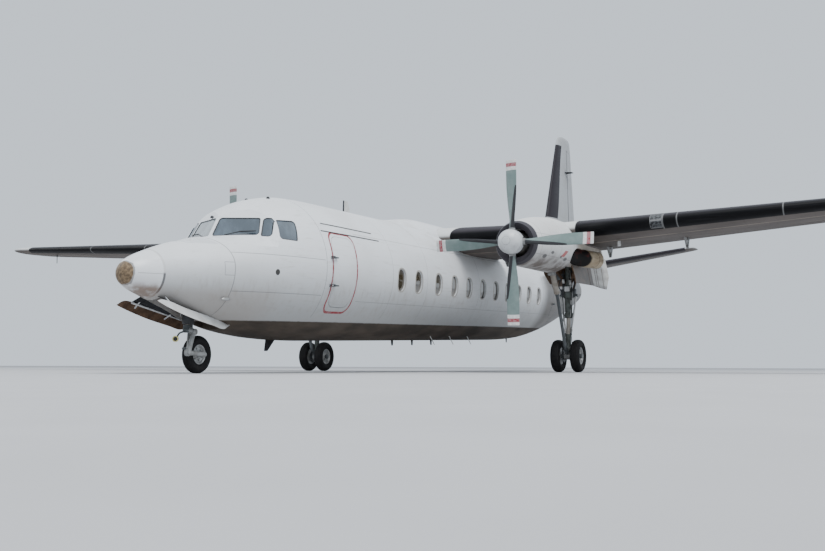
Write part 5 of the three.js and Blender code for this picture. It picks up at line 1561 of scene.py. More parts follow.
def make_tail():
    tip = TAILPLANE["tip"] - TAILPLANE["tip_start"]
    rings = [tailplane_ring(y) for y in steps(0.0003, TAILPLANE["tip_start"], 1.1)]
    rings += tip_rings(TAIL_TIP, lambda share, left: tailplane_ring(TAILPLANE["tip_start"] + share * tip, left))
    skin = Skin("tailplane_form", rings)
    fixed = skin.take("tailplane_work")
    elevator = hinged_along_span(fixed, skin.obj, ELEVATOR["y0"], ELEVATOR["y1"], tailplane_hinge,
                                 ELEVATOR["swing"], "elevator_leaf")
    finish_pair(fixed, "tailplane_skin", "airframe", [M["tail"], M["cavity"]], ["tailplane_{}"], skin)
    finish_pair(elevator, "elevator_skin", "elevator_{}", [M["tail"], M["wing_dark"]], ["elevator_{}"], skin)
    skin.close()

    tip = FIN["top"] - FIN["tip_start"]
    rings = [fin_ring(z) for z in steps(FIN["foot"], FIN["tip_start"], 1.2)]
    rings += tip_rings(FIN_TIP, lambda share, left: fin_ring(FIN["tip_start"] + share * tip, left))
    lying = Skin("fin_lying", rings)
    fixed = lying.take("fin_skin")
    rudder = hinged_along_span(fixed, lying.obj, RUDDER["z0"], RUDDER["z1"], fin_hinge, RUDDER["swing"],
                               "rudder_skin")
    skin = Skin("fin_form", source=upright(lying.take("fin_upright")))
    dorsal = Skin("dorsal", dorsal_rings())
    body_core = loft("fin_core", body_rings(-3.9, TAIL_X))
    for obj, body, node in ((upright(fixed), "airframe", "fin"), (upright(rudder), "rudder", "rudder")):
        if node == "fin":
            boolean(obj, dorsal.take("dorsal_ridge"), "UNION")
            boolean(obj, body_core)
        dress(obj, [skin, dorsal])
        settle(obj, body, [M["tail"], M["cavity" if node == "fin" else "wing_dark"]], [node])
    remove(bpy.data.objects["fin_upright"])
    for item in (lying, skin, dorsal):
        item.close()


def dorsal_rings():
    rings = []
    for x in steps(-4.3, -9.2, 0.3) + steps(-9.2, -9.57, 0.09) + [-9.57, -10.05]:
        _, ridge, half = row_at(DORSAL_ROWS, x)
        foot = row_at(BODY_ROWS, x)[2] - 0.12
        ring = []
        for j in range(33):
            t = -1 + 2 * j / 32
            high = 1 - abs(t) ** 1.35
            ring.append((x, half * t, foot + (ridge - foot) * high))
        rings.append(ring)
    return rings


# dark brown for the noses and cut faces of flaps, ailerons, elevators and rudder: painted shade in the gaps
M["wing_dark"] = plain("wing_edge", (0.12, 0.105, 0.095), 0.6, vary=0.5)
make_wings()
make_tail()


# Nacelles
ENGINE_BACK = 1.46
INTAKE = {"radius": 0.35, "throat": 0.302, "x": 3.72}
EXHAUST = {"radius": 0.205, "inner": 0.185}
OUTLET = {"x": 0.86, "half": 0.52, "z": 0.49, "high": 0.245, "lean": 0.1, "floor_y": NACELLE_Y + 0.4}
EXHAUST_PATH = [(1.15, 0.3, 0.6), (0.85, 0.42, 0.56), (0.5, 0.61, 0.52), (0.1, 0.78, 0.5)]
GEAR_BAY = {"x0": -1.95, "x1": 1.33, "half": 0.37, "top": 0.735}


def nacelle_ring(x, grow=0.0):
    _, half, top, bottom = row_at(NACELLE_ROWS, x)
    return oval_ring(x, half + grow, top + grow, bottom - grow, (top + bottom) / 2, 72, NACELLE_Y)


def nacelle_walls(centre):
    return 1 if centre.x > ENGINE_BACK else 2


def exhaust_points(lead=0.0):
    first = EXHAUST_PATH[0]
    points = [(first[0] + lead, NACELLE_Y + first[1] - lead / 3, first[2])]
    return points + [(x, NACELLE_Y + across, z) for x, across, z in EXHAUST_PATH[1:]]


def make_nacelles():
    marks = [3.74, 3.735, 3.72, 3.7, 3.67] + steps(3.64, 3.3, 0.05) + steps(3.3, -1.1, 0.2) + steps(-1.1, -2.7, 0.08)
    skin = Skin("nacelle_form", [nacelle_ring(x) for x in marks + [-2.7]])
    cowl = skin.take("nacelle_work")
    mouth = INTAKE["x"] - ENGINE_BACK
    reach = mouth - 0.13
    throat = INTAKE["throat"]
    duct = [(0, INTAKE["radius"]), (reach - 0.3, INTAKE["radius"]), (reach - 0.15, throat), (reach, throat)]
    for k in range(1, 11):
        t = k / 10
        duct.append((reach + 0.15 * t, throat + (0.43 - throat) * t ** 3.2))
    boolean(cowl, lathe("duct", duct + [(mouth + 0.1, 0.5)], (ENGINE_BACK, NACELLE_Y, HUB[2]), (1, 0, 0), 72))
    bay = block("gear_bay", (GEAR_BAY["x0"], NACELLE_Y - GEAR_BAY["half"], -0.4),
                (GEAR_BAY["x1"], NACELLE_Y + GEAR_BAY["half"], GEAR_BAY["top"]))
    boolean(cowl, bay)
    boolean(cowl, tube("outlet", exhaust_points(0.001), EXHAUST["radius"] + 0.001, 48))
    boolean(cowl, outlet_recess())
    finish_pair(cowl, "nacelle_skin", "airframe", [M["nacelle"], M["duct"], M["cavity"]], ["nacelle_{}"], skin,
                nacelle_walls)
    skin.close()
    pipe = tube("exhaust_work", exhaust_points(), EXHAUST["radius"] - 0.0005, 48)
    boolean(pipe, tube("exhaust_bore", exhaust_bore(), EXHAUST["inner"], 48))
    finish_pair(pipe, "exhaust_pipe", "airframe", [M["soot"]], ["exhaust_{}"], None, dressed=False)
    for side in SIDES:
        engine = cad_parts["engine_" + side]
        for i in range(len(engine.material_slots)):
            engine.material_slots[i].link = "OBJECT"
            engine.material_slots[i].material = M["engine"]


def outlet_recess():
    """An oval hollow in the side of the cowl, round the place where the exhaust leaves."""
    at = OUTLET
    rings = []
    for y in (at["floor_y"], at["floor_y"] + 0.4):
        rings.append([(at["x"] + at["half"] * math.cos(k * math.pi / 32) + at["lean"] * math.sin(k * math.pi / 32), y,
                       at["z"] + at["high"] * math.sin(k * math.pi / 32)) for k in range(64)])
    return loft("outlet_recess", rings)


def exhaust_bore():
    """The pipe's middle line, reaching a little past both ends."""
    points = [Vector(p) for p in exhaust_points()]
    points[0] += (points[0] - points[1]).normalized() * 0.02
    points[-1] += (points[-1] - points[-2]).normalized() * 0.02
    return points


# Propellers: blade rows of radius, chord, thickness and pitch angle from the plane of rotation
BLADE_ROWS = [
    (0.11, 0.11, 0.11, 40),
    (0.3, 0.13, 0.105, 38),
    (0.52, 0.17, 0.07, 32),
    (0.8, 0.225, 0.048, 24),
    (1.25, 0.262, 0.03, 15),
    (1.755, 0.251, 0.014, 9.5),
]
HUB_RADIUS = 0.215
HUB_BACK = -0.09
HUB_FRONT = 0.11
SPINNER = {"radius": 0.262, "reach": 0.285}


def blade_section(r, grow=0.0, part=(0.0, 1.0)):
    """Blade outline at a radius; part is the share of the chord that it covers, from the leading edge."""
    down = [(-row[0], *row[1:]) for row in BLADE_ROWS]
    _, chord, thick, pitch = row_at(down, -r)
    round_share = min(1.0, max(0.0, (r - 0.3) / 0.3))
    turn = math.radians(pitch)
    ring = []
    sides = 14
    for j in range(2 * sides):
        over = j <= sides
        t = 0.5 * (1 + math.cos(math.pi * j / sides))
        t = part[0] + (part[1] - part[0]) * t
        wing_shape = depth_share(t) * 1.02
        circle = math.sqrt(max(0.0, 1 - (2 * t - 1) ** 2)) / 2
        depth = (wing_shape * round_share + circle * (1 - round_share)) * (thick + 2 * grow)
        across = depth if over else -depth * (1 - 0.45 * round_share)
        along = (0.5 - t) * (chord + 2 * grow)
        ring.append((along * math.sin(turn) + across * math.cos(turn), along * math.cos(turn) - across * math.sin(turn),
                     r))
    return ring


def blade_radii(low, high):
    return steps(low, high, 0.06) + [high]


def make_blade():
    tip_start = 1.725
    rings = [blade_section(r) for r in blade_radii(0.14, tip_start)]
    return loft("blade", rings + [blade_section(1.746, -0.001), blade_section(1.755, -0.004)])


def make_boot():
    """Dark sleeve along the leading edge of a blade, narrower outwards."""
    rings = []
    for r in blade_radii(0.3, 1.2):
        share = 0.10 + 0.34 * max(0.0, (1.2 - r) / 0.9) ** 0.7
        rings.append(blade_section(r, 0.0015 + 0.0015 * min(1.0, (1.2 - r) / 0.1), (0.0, share)))
    return loft("blade_boot", rings)


def make_propellers():
    for side, sign in SIDES.items():
        body = "propeller_" + side
        centre = Vector((HUB[0], sign * NACELLE_Y, HUB[2]))
        blades, boots, cuffs = [], [], []
        for i in range(4):
            turn = Matrix.Translation(centre) @ Matrix.Rotation(i * math.pi / 2, 4, "X")
            cuff = rod("cuff", (0, 0, 0.1), (0, 0, 0.3), 0.078, 32, 0.068)
            clamp = rod("clamp", (0, 0, 0.205), (0, 0, 0.235), 0.088, 32)
            for obj, kept in ((make_blade(), blades), (make_boot(), boots), (cuff, cuffs), (clamp, cuffs)):
                obj.data.transform(turn)
                kept.append(obj)
        shaft = rod("shaft", centre - Vector((0.483, 0, 0)), centre, 0.06, 24)
        hub = lathe("hub", [(HUB_BACK, HUB_RADIUS - 0.012), (HUB_BACK + 0.012, HUB_RADIUS),
                            (HUB_FRONT - 0.012, HUB_RADIUS), (HUB_FRONT, HUB_RADIUS - 0.012)], centre, (1, 0, 0), 64)
        collar = lathe("collar", [(-0.16, 0.1), (-0.15, 0.15), (HUB_BACK - 0.0005, 0.16)], centre, (1, 0, 0), 48)
        put(join("hub_" + side, [hub, collar, shaft]), body, M["gear_dark"])
        put(join("blade_cuffs_" + side, cuffs), body, M["gear_grey"])
        put(join("blade_boots_" + side, boots), body, M["boot"])
        finish_blades(join("blades_" + side, blades), body, side)
        make_spinner(centre, side)


def finish_blades(blades, body, side):
    smooth(blades, 50)
    for face in blades.data.polygons:
        face.material_index = 1 if face.normal.x < 0.0 else 0
    settle(blades, body, [M["blade"], M["blade_back"]], ["propeller_" + side])


def make_spinner(centre, side):
    back = HUB_FRONT + GAP
    profile = [(back, SPINNER["radius"] - 0.004), (back + 0.004, SPINNER["radius"])]
    for k in range(1, 25):
        angle = k / 24 * math.pi / 2
        profile.append((back + 0.004 + (SPINNER["reach"] - 0.004) * math.sin(angle),
                        SPINNER["radius"] * math.cos(angle)))
    dome = lathe("spinner_dome_" + side, profile, centre, (1, 0, 0), 72)
    put(dome, "propeller_" + side, M["spinner"], ["spinner_" + side], 40)
    skirt = lathe("spinner_skirt_" + side, [(HUB_FRONT - 0.14, SPINNER["radius"] - 0.02),
                                           (HUB_FRONT - 0.13, SPINNER["radius"] - 0.003),
                                           (HUB_FRONT - 0.001, SPINNER["radius"] - 0.001)], centre, (1, 0, 0), 72)
    for k in range(4):
        turn = Matrix.Translation(centre) @ Matrix.Rotation(k * math.pi / 2, 4, "X")
        hole = rod("root_hole", (0, 0, 0.1), (0, 0, 0.4), 0.095, 32)
        hole.data.transform(turn)
        boolean(skirt, hole)
    put(skirt, "propeller_" + side, M["spinner"], [], 30)


make_nacelles()
make_propellers()


# Landing gear
def level(x, height, y=0.0):
    """Airframe place of a point, from its distance ahead of the main wheels and its height above the floor."""
    drop = height - AXIS_HEIGHT
    return Vector((x * math.cos(PITCH) - drop * math.sin(PITCH), y, x * math.sin(PITCH) + drop * math.cos(PITCH)))


def turned_ring(name, profile, centre, direction, sides=96):
    """Turned ring: its profile of [along, radius] closes on itself."""
    axis, across, up = basis(direction)
    centre = Vector(centre)
    count = len(profile)
    points, faces = [], []
    for i in range(sides):
        angle = 2 * math.pi * i / sides
        out = across * math.cos(angle) + up * math.sin(angle)
        points += [centre + axis * along + out * r for along, r in profile]
    for i in range(sides):
        n = (i + 1) % sides
        for j in range(count):
            k = (j + 1) % count
            faces.append((i * count + j, i * count + k, n * count + k, n * count + j))
    return new_object(name, mesh_from(name, points, faces))


def stepped(name, start, end, rows, sides=28):
    """Turned bar: rows of share of the length and radius."""
    start, end = Vector(start), Vector(end)
    length = (end - start).length
    return lathe(name, [(share * length, r) for share, r in rows], start, end - start, sides)


def tyre(name, centre, radius, half, rim, grooves):
    """Tyre with a round crown, grooves at places across the tread, and walls down to the bead."""
    middle = (radius + rim) / 2
    wide, deep = 0.0035, 0.006

    def crown(across):
        share = min(1.0, abs(across) / half)
        return middle + (radius - middle) * math.sqrt(max(0.0, 1 - share ** 2.6))

    rows = []
    for k in range(-22, 23):
        across = half * math.sin(k / 22 * math.pi / 2)
        if all(abs(across - g) > wide * 1.2 for g in grooves):
            rows.append((across, crown(across)))
    for g in grooves:
        for shift, drop in ((-wide, 0), (-wide * 0.8, deep), (wide * 0.8, deep), (wide, 0)):
            rows.append((g + shift, crown(g + shift) - drop))
    rows.sort(key=lambda row: row[0])
    for wall, share in ((0.955, 0.35), (0.86, 0.66), (0.74, 0.86), (0.62, 1.0)):
        high = middle - share * (middle - rim)
        rows = [(-half * wall, high)] + rows + [(half * wall, high)]
    return turned_ring(name, rows, centre, (0, 1, 0), 112)


def rim(name, centre, face, half, radius, bore, holes, hole_radius):
    """Wheel half with a bead flange, a dished web with holes, and bolts round the hub."""
    lip = half * 0.62
    r = radius - GAP
    profile = [(-lip, bore), (half * 0.3, bore), (half * 0.42, bore + 0.008), (half * 0.42, bore + 0.022),
               (half * 0.24, bore + 0.032), (half * 0.16, bore + 0.05), (half * 0.16, r - 0.05),
               (half * 0.26, r - 0.036), (half * 0.5, r - 0.026), (lip - 0.004, r - 0.02), (lip, r - 0.014),
               (lip, r - 0.004), (lip - 0.004, r), (-lip + 0.004, r), (-lip, r - 0.004)]
    wheel = turned_ring(name, [(face * a, b) for a, b in profile], centre, (0, 1, 0), 96)
    hole_ring = (bore + 0.05 + r - 0.05) / 2
    tools, bolts = [], []
    for k in range(holes):
        angle = 2 * math.pi * (k + 0.25) / holes
        out = Vector((math.cos(angle), 0, math.sin(angle)))
        middle = Vector(centre) + out * hole_ring
        tools.append(rod("hole", middle - Vector((0, face * half * 0.1, 0)), middle + Vector((0, face * half, 0)),
                         hole_radius, 24))
        between = math.cos(angle + math.pi / holes), math.sin(angle + math.pi / holes)
        root = Vector(centre) + Vector((between[0], 0, between[1])) * (hole_ring + 0.004)
        bolts.append(rod("bolt", root + Vector((0, face * half * 0.14, 0)), root + Vector((0, face * half * 0.23, 0)),
                         0.0085, 6))
    boolean(wheel, join("holes", tools))
    return join(name, [wheel] + bolts)


MAIN_WHEEL = {"radius": 0.398, "half": 0.1175, "rim": 0.208, "bore": 0.0524, "spacing": 0.245}
NOSE_WHEEL = {"x": 9.74, "radius": 0.3245, "half": 0.095, "rim": 0.17, "bore": 0.0324, "steer_x": 9.99}


def make_wheels():
    for side, sign in SIDES.items():
        for place, handed in (("outer", 1), ("inner", -1)):
            centre = level(0, MAIN_WHEEL["radius"], sign * (NACELLE_Y + handed * MAIN_WHEEL["spacing"]))
            label = place + "_" + side
            rubber = tyre("tyre_" + label, centre, MAIN_WHEEL["radius"], MAIN_WHEEL["half"], MAIN_WHEEL["rim"],
                          (-0.052, -0.018, 0.018, 0.052))
            put(rubber, "wheels_" + side, M["main_tyre"], ["main_tyre_{}_{}".format(place, side)], 30)
            metal = rim("wheel_" + label, centre, sign * handed, MAIN_WHEEL["half"], MAIN_WHEEL["rim"],
                        MAIN_WHEEL["bore"], 9, 0.017)
            put(metal, "wheels_" + side, M["rim"], ["main_rim_{}_{}".format(place, side)], 30)
    centre = level(NOSE_WHEEL["x"], NOSE_WHEEL["radius"])
    rubber = tyre("tyre_nose", centre, NOSE_WHEEL["radius"], NOSE_WHEEL["half"], NOSE_WHEEL["rim"], (-0.03, 0.0, 0.03))
    put(rubber, "nose_wheel", M["nose_tyre"], ["nose_tyre"], 30)
    metal = rim("wheel_nose", centre, 1, NOSE_WHEEL["half"], NOSE_WHEEL["rim"], NOSE_WHEEL["bore"], 6, 0.02)
    put(metal, "nose_wheel", M["rim"], ["nose_rim"], 30)


# Turned profiles used twice: rows of share of the length and radius
LINK_ROWS = [(0, 0.026), (0.01, 0.034), (0.06, 0.034), (0.09, 0.02), (0.5, 0.024), (0.85, 0.02), (0.86, 0.03),
             (0.93, 0.03), (0.94, 0.022), (1, 0.022)]
BRAKE_ROWS = [(0, 0.15), (0.1, 0.158), (0.9, 0.158), (1, 0.15)]
JACK_ROWS = [(0, 0.045), (0.5, 0.045), (0.52, 0.028), (1, 0.028)]

# Main gear bars: from and to as (ahead, height, across), rows of share and radius, material
MAIN_LEG_BARS = {
    "cylinder": ((-0.115, 2.94, 0), (-0.075, 1.33, 0), [(0, 0.08), (0.003, 0.088), (0.3, 0.088), (0.3, 0.1),
                 (0.33, 0.1), (0.33, 0.088), (0.6, 0.088), (0.609, 0.12), (0.696, 0.12), (0.705, 0.094),
                 (0.92, 0.088), (0.925, 0.102), (0.99, 0.102), (1, 0.09)], "leg_paint"),
    "piston": ((-0.075, 1.4, 0), (-0.02, 0.8, 0), [(0, 0.056), (1, 0.056)], "chrome"),
    "cross_tube": ((-0.09, 1.88, -0.225), (-0.09, 1.88, 0.225), [(0, 0.03), (0.01, 0.036), (0.1, 0.036),
                   (0.1, 0.05), (0.16, 0.05), (0.16, 0.042), (0.84, 0.042), (0.84, 0.05), (0.9, 0.05),
                   (0.9, 0.036), (0.99, 0.036), (1, 0.03)], "gear_dark"),
    "foot": ((-0.025, 0.93, 0), (-0.006, 0.46, 0), [(0, 0.06), (0.01, 0.078), (0.12, 0.078), (0.16, 0.068),
             (0.7, 0.066), (0.85, 0.086), (1, 0.08)], "leg_paint"),
    "hub": ((0, 0.398, -0.1), (0, 0.398, 0.1), [(0, 0.07), (0.05, 0.09), (0.95, 0.09), (1, 0.07)], "gear_grey"),
    "axle": ((0, 0.398, -0.352), (0, 0.398, 0.352), [(0, 0.05), (0.008, 0.064), (0.03, 0.066), (0.032, 0.052),
             (0.968, 0.052), (0.97, 0.066), (0.992, 0.064), (1, 0.05)], "gear_dark"),
    "inner_brake": ((0, 0.398, -0.122), (0, 0.398, -0.104), BRAKE_ROWS, "gear_dark"),
    "outer_brake": ((0, 0.398, 0.104), (0, 0.398, 0.122), BRAKE_ROWS, "gear_dark"),
    "outer_link": ((-0.09, 1.88, 0.19), (-0.03, 0.92, 0.06), LINK_ROWS, "metal"),
    "inner_link": ((-0.09, 1.88, -0.19), (-0.03, 0.92, -0.06), LINK_ROWS, "metal"),
    "link_tie": ((-0.03, 0.93, -0.085), (-0.03, 0.93, 0.085), [(0, 0.026), (0.05, 0.032), (0.95, 0.032), (1, 0.026)],
                 "gear_dark"),
    "upper_strut": ((1.185, 2.33, 0), (0.85, 1.87, 0), [(0, 0.05), (0.02, 0.066), (0.9, 0.066), (0.91, 0.074),
                    (0.97, 0.074), (1, 0.05)], "strut_paint"),
    "lower_strut": ((0.862, 1.887, 0), (0.215, 0.56, 0), [(0, 0.048), (0.05, 0.048), (0.06, 0.04), (0.9, 0.04),
                    (0.91, 0.05), (0.98, 0.05), (1, 0.04)], "gear_dark"),
    "jack_outer": ((-0.3, 2.55, 0.2), (-0.1, 2.0, 0.11), JACK_ROWS, "door_inside"),
    "jack_inner": ((-0.3, 2.55, -0.2), (-0.1, 2.0, -0.11), JACK_ROWS, "gear_dark"),
    "brace_outer": ((0.18, 2.5, 0.24), (-0.08, 2.2, 0.08), [(0, 0.036), (1, 0.03)], "door_inside"),
    "brace_inner": ((0.18, 2.5, -0.24), (-0.08, 2.2, -0.08), [(0, 0.036), (1, 0.03)], "door_inside"),
    "lever": ((-0.09, 1.8, 0.17), (-0.09, 1.9, 0.31), [(0, 0.014), (0.8, 0.012), (0.82, 0.02), (1, 0.018)], "metal"),
    "heel": ((0.235, 0.6, 0), (0.0, 0.42, 0), [(0, 0.034), (0.1, 0.046), (0.9, 0.046), (1, 0.04)], "gear_dark"),
}

# Hoses, pipes and cables of a main leg: radius, material, places
MAIN_LEG_LINES = [
    (0.009, "hose", [(-0.02, 2.55, 0.1), (0.02, 2.1, 0.12), (0.03, 1.6, 0.1), (0.05, 1.25, 0.11), (0.06, 0.95, 0.1),
                     (0.08, 0.6, 0.13), (0.05, 0.45, 0.14)]),
    (0.009, "hose", [(-0.02, 2.5, -0.1), (0.03, 2.0, -0.12), (0.04, 1.5, -0.1), (0.05, 1.1, -0.12),
                     (0.07, 0.7, -0.12), (0.05, 0.45, -0.14)]),
    (0.006, "metal", [(0.0, 2.5, 0.06), (0.02, 1.9, 0.125), (0.01, 1.5, 0.08), (0.0, 1.35, 0.06)]),
    (0.012, "hose", [(0.0, 1.98, 0.16), (0.06, 2.12, 0.2), (0.02, 2.3, 0.15), (-0.03, 2.5, 0.1)]),
    (0.012, "hose", [(0.0, 1.98, -0.16), (0.06, 2.12, -0.2), (0.02, 2.3, -0.15), (-0.03, 2.5, -0.1)]),
    (0.008, "metal", [(0.02, 2.02, 0.06), (0.09, 2.1, 0.1), (0.07, 2.24, 0.05), (0.0, 2.32, 0.04)]),
]

# Brackets and valve bodies: low and high corners as (ahead, height, across), material
MAIN_LEG_BLOCKS = [
    ((-0.34, 2.26, -0.3), (-0.2, 2.58, 0.3), "door_inside"),
    ((-0.12, 2.24, 0.1), (0.02, 2.44, 0.26), "door_inside"),
    ((-0.12, 2.28, -0.28), (0.02, 2.42, -0.1), "gear_dark"),
    ((-0.13, 1.9, 0.1), (-0.02, 2.04, 0.19), "gear_dark"),
    ((-0.13, 1.9, -0.19), (-0.02, 2.04, -0.1), "gear_dark"),
    ((0.0, 1.98, -0.06), (0.07, 2.1, 0.06), "door_edge"),
    ((0.0, 2.14, 0.05), (0.06, 2.26, 0.11), "metal"),
    ((0.005, 2.18, -0.12), (0.06, 2.28, -0.06), "metal"),
    ((-0.02, 1.66, 0.07), (0.05, 1.76, 0.12), "gear_grey"),
    ((0.03, 0.52, 0.06), (0.09, 0.62, 0.12), "metal"),
]


def sorted_pieces(rows):
    """Groups finished pieces by material."""
    groups = {}
    for obj, material in rows:
        groups.setdefault(material, []).append(obj)
    return groups


def leg_block(low, high, y):
    a, b = level(low[0], low[1]), level(high[0], high[1])
    return bevel(block("fitting", (a.x, y + low[2], a.z), (b.x, y + high[2], b.z)), 0.008)


def gear_pieces(bars, lines, blocks, y):
    pieces = []
    for start, end, rows, material in bars.values():
        pieces.append((stepped("bar", level(start[0], start[1], y + start[2]), level(end[0], end[1], y + end[2]), rows),
                       material))
    for radius, material, places in lines:
        pieces.append((tube("line", [level(a, h, y + c) for a, h, c in places], radius, 10), material))
    for low, high, material in blocks:
        pieces.append((leg_block(low, high, y), material))
    return pieces


def place_group(label, pieces, body, nodes):
    """One object for each material; the first stands for the nodes."""
    for i, (material, objects) in enumerate(sorted_pieces(pieces).items()):
        put(join(label + "_" + material, objects), body, M[material],
            nodes if i == 0 else [], 40)


def make_main_legs():
    top = level(-0.13, 2.96)
    strut = level(1.185, 2.33)
    for side, sign in SIDES.items():
        y = sign * NACELLE_Y
        pieces = gear_pieces(MAIN_LEG_BARS, MAIN_LEG_LINES, MAIN_LEG_BLOCKS, y)
        pieces.append((bevel(block("leg_head", (top.x - 0.12, y - 0.15, GEAR_BAY["top"] - 0.06),
                                   (top.x + 0.12, y + 0.15, GEAR_BAY["top"] + 0.024)), 0.01), "gear_grey"))
        pieces.append((bevel(block("strut_head", (strut.x - 0.06, y - 0.07, strut.z - 0.06),
                                   (GEAR_BAY["x1"] + 0.02, y + 0.07, strut.z + 0.06)), 0.01), "gear_grey"))
        place_group("main_gear_" + side, pieces, "airframe", ["main_leg_" + side])


# Nose gear
STEER = NOSE_WHEEL["steer_x"]
ARM_Y = 0.15
NOSE_LEG_BARS = {
    "sleeve": ((STEER - 0.02, 1.48, 0), (STEER, 0.83, 0), [(0, 0.07), (0.01, 0.078), (0.3, 0.078), (0.31, 0.09),
               (0.38, 0.09), (0.39, 0.078), (0.72, 0.078), (0.74, 0.1), (0.98, 0.1), (1, 0.09)], "gear_black"),
    "brace": ((STEER - 0.01, 1.12, 0), (9.5, 1.26, 0), [(0, 0.03), (0.05, 0.038), (0.95, 0.038), (1, 0.03)],
              "gear_dark"),
    "actuator": ((STEER + 0.02, 1.02, -0.13), (STEER + 0.02, 1.02, 0.13), [(0, 0.03), (0.02, 0.042), (0.4, 0.042),
                 (0.41, 0.03), (0.59, 0.03), (0.6, 0.042), (0.98, 0.042), (1, 0.03)], "gear_dark"),
}
NOSE_LEG_LINES = [
    (0.009, "hose", [(STEER + 0.09, 1.3, 0.05), (STEER + 0.12, 1.1, 0.08), (STEER + 0.1, 0.95, 0.1),
                     (STEER + 0.02, 0.98, 0.13)]),
    (0.008, "metal", [(STEER + 0.08, 1.35, -0.04), (STEER + 0.1, 1.1, -0.06), (STEER + 0.08, 0.96, -0.1)]),
]
NOSE_FORK_BARS = {
    "stem": ((STEER, 0.96, 0), (STEER, 0.8, 0), [(0, 0.0445), (1, 0.0445)], "chrome"),
    "head": ((STEER, 0.822, 0), (STEER, 0.69, 0), [(0, 0.07), (0.05, 0.082), (0.5, 0.082), (0.6, 0.09), (0.9, 0.086),
             (1, 0.07)], "gear_dark"),
    "shoulder": ((STEER, 0.745, 0), (STEER + 0.02, 0.7, ARM_Y), [(0, 0.055), (1, 0.05)], "gear_grey"),
    "shoulder_ball": ((STEER + 0.02, 0.7, ARM_Y - 0.05), (STEER + 0.02, 0.7, ARM_Y + 0.045), [(0, 0.04), (0.1, 0.052),
                      (0.9, 0.052), (1, 0.04)], "gear_grey"),
    "drop": ((STEER + 0.02, 0.72, ARM_Y), (STEER + 0.16, 0.36, ARM_Y), [(0, 0.034), (0.05, 0.042), (0.5, 0.038),
             (0.95, 0.044), (1, 0.04)], "gear_grey"),
    "knee": ((STEER + 0.16, 0.35, ARM_Y - 0.048), (STEER + 0.16, 0.35, ARM_Y + 0.05), [(0, 0.05), (0.05, 0.06),
             (0.6, 0.06), (0.62, 0.045), (0.9, 0.045), (1, 0.03)], "gear_grey"),
    "arm": ((STEER + 0.165, 0.35, ARM_Y), (NOSE_WHEEL["x"], 0.3245, ARM_Y), [(0, 0.044), (0.5, 0.04), (1, 0.046)],
            "gear_grey"),
    "arm_end": ((NOSE_WHEEL["x"], 0.3245, 0.1), (NOSE_WHEEL["x"], 0.3245, 0.19), [(0, 0.04), (0.1, 0.056),
                (0.6, 0.056), (0.62, 0.04), (0.95, 0.036), (1, 0.02)], "gear_grey"),
    "axle": ((NOSE_WHEEL["x"], 0.3245, 0.15), (NOSE_WHEEL["x"], 0.3245, -0.08), [(0, 0.032), (0.92, 0.032),
             (0.93, 0.042), (0.99, 0.042), (1, 0.03)], "gear_dark"),
    "damper": ((STEER + 0.0, 0.69, 0.03), (STEER + 0.15, 0.4, ARM_Y - 0.03), [(0, 0.02), (0.05, 0.03), (0.5, 0.03),
               (0.51, 0.016), (1, 0.016)], "metal"),
    "tow_eye": ((STEER + 0.1, 0.42, -0.02), (STEER + 0.1, 0.42, ARM_Y), [(0, 0.018), (0.02, 0.024), (0.98, 0.024),
                (1, 0.018)], "gear_dark"),
}
LAMP = {"ahead": 10.33, "height": 0.575, "across": 0.02, "radius": 0.052, "depth": 0.06}


def make_nose_gear():
    ceiling = NOSE_BAY["top"]
    pieces = gear_pieces(NOSE_LEG_BARS, NOSE_LEG_LINES, [], 0.0)
    boxes = (((NOSE_BAY["x0"] + GAP, -0.12, ceiling - 0.42), (9.56, 0.12, ceiling - 0.3)),
             ((9.86, -0.11, ceiling - 0.07), (10.06, 0.11, ceiling - GAP)))
    pieces += [(bevel(block("mount", low, high), 0.008), "gear_dark") for low, high in boxes]
    place_group("nose_gear", pieces, "airframe", ["nose_leg"])
    pieces = gear_pieces(NOSE_FORK_BARS, [], [], 0.0)
    centre = level(LAMP["ahead"], LAMP["height"], LAMP["across"])
    ahead = Vector((0.9, 0.42, 0.0)).normalized()
    r, depth = LAMP["radius"], LAMP["depth"]
    pieces.append((lathe("lamp_body", [(-depth, 0.02), (-depth * 0.8, r * 0.7), (-0.02, r)], centre, ahead, 40),
                   "gear_dark"))
    pieces.append((turned_ring("lamp_ring", [(-0.02, r), (0.008, r), (0.01, r - 0.003), (0.008, r - 0.016),
                                             (-0.02, r - 0.016)], centre, ahead, 48), "yellow"))
    pieces.append((lathe("lamp_lens", [(-0.015, r - 0.0165), (0.002, r - 0.018), (0.006, 0.015), (0.007, 0)], centre,
                         ahead, 40), "hose"))
    arm = level(STEER, 0.72)
    pieces.append((tube("lamp_arm", [arm, (arm + centre) / 2 + Vector((0.05, 0, 0.03)), centre - ahead * 0.05], 0.014,
                        12), "gear_dark"))
    place_group("nose_fork", pieces, "nose_fork", ["nose_fork"])


# Gear doors: x, top, bottom
MAIN_DOOR_ROWS = {
    "outer": [(0.99, 0.4, 0.06), (0.94, 0.4, -0.071), (-0.59, 0.44, -0.068), (-1.3, 0.5, -0.1), (-1.85, 0.64, -0.11),
              (-2.09, 0.7, 0.226)],
    "inner": [(0.34, 0.4, 0.235), (0.29, 0.4, 0.19), (-0.14, 0.42, -0.02), (-0.78, 0.45, -0.05), (-1.5, 0.56, -0.02),
              (-1.62, 0.64, 0.15)],
}
NOSE_DOOR_ROWS = [(11.235, -0.745, -0.79), (11.15, -0.722, -0.822), (10.5, -0.855, -1.005), (9.95, -0.965, -1.12),
                  (9.66, -1.035, -1.178), (9.48, -1.085, -1.11)]
NOSE_DOOR = {"upper_y": 0.36, "lower_y": 0.45, "thick": 0.016, "arm_x": (10.88, 10.15),
             "panel_y": 0.15, "rod": 0.017}


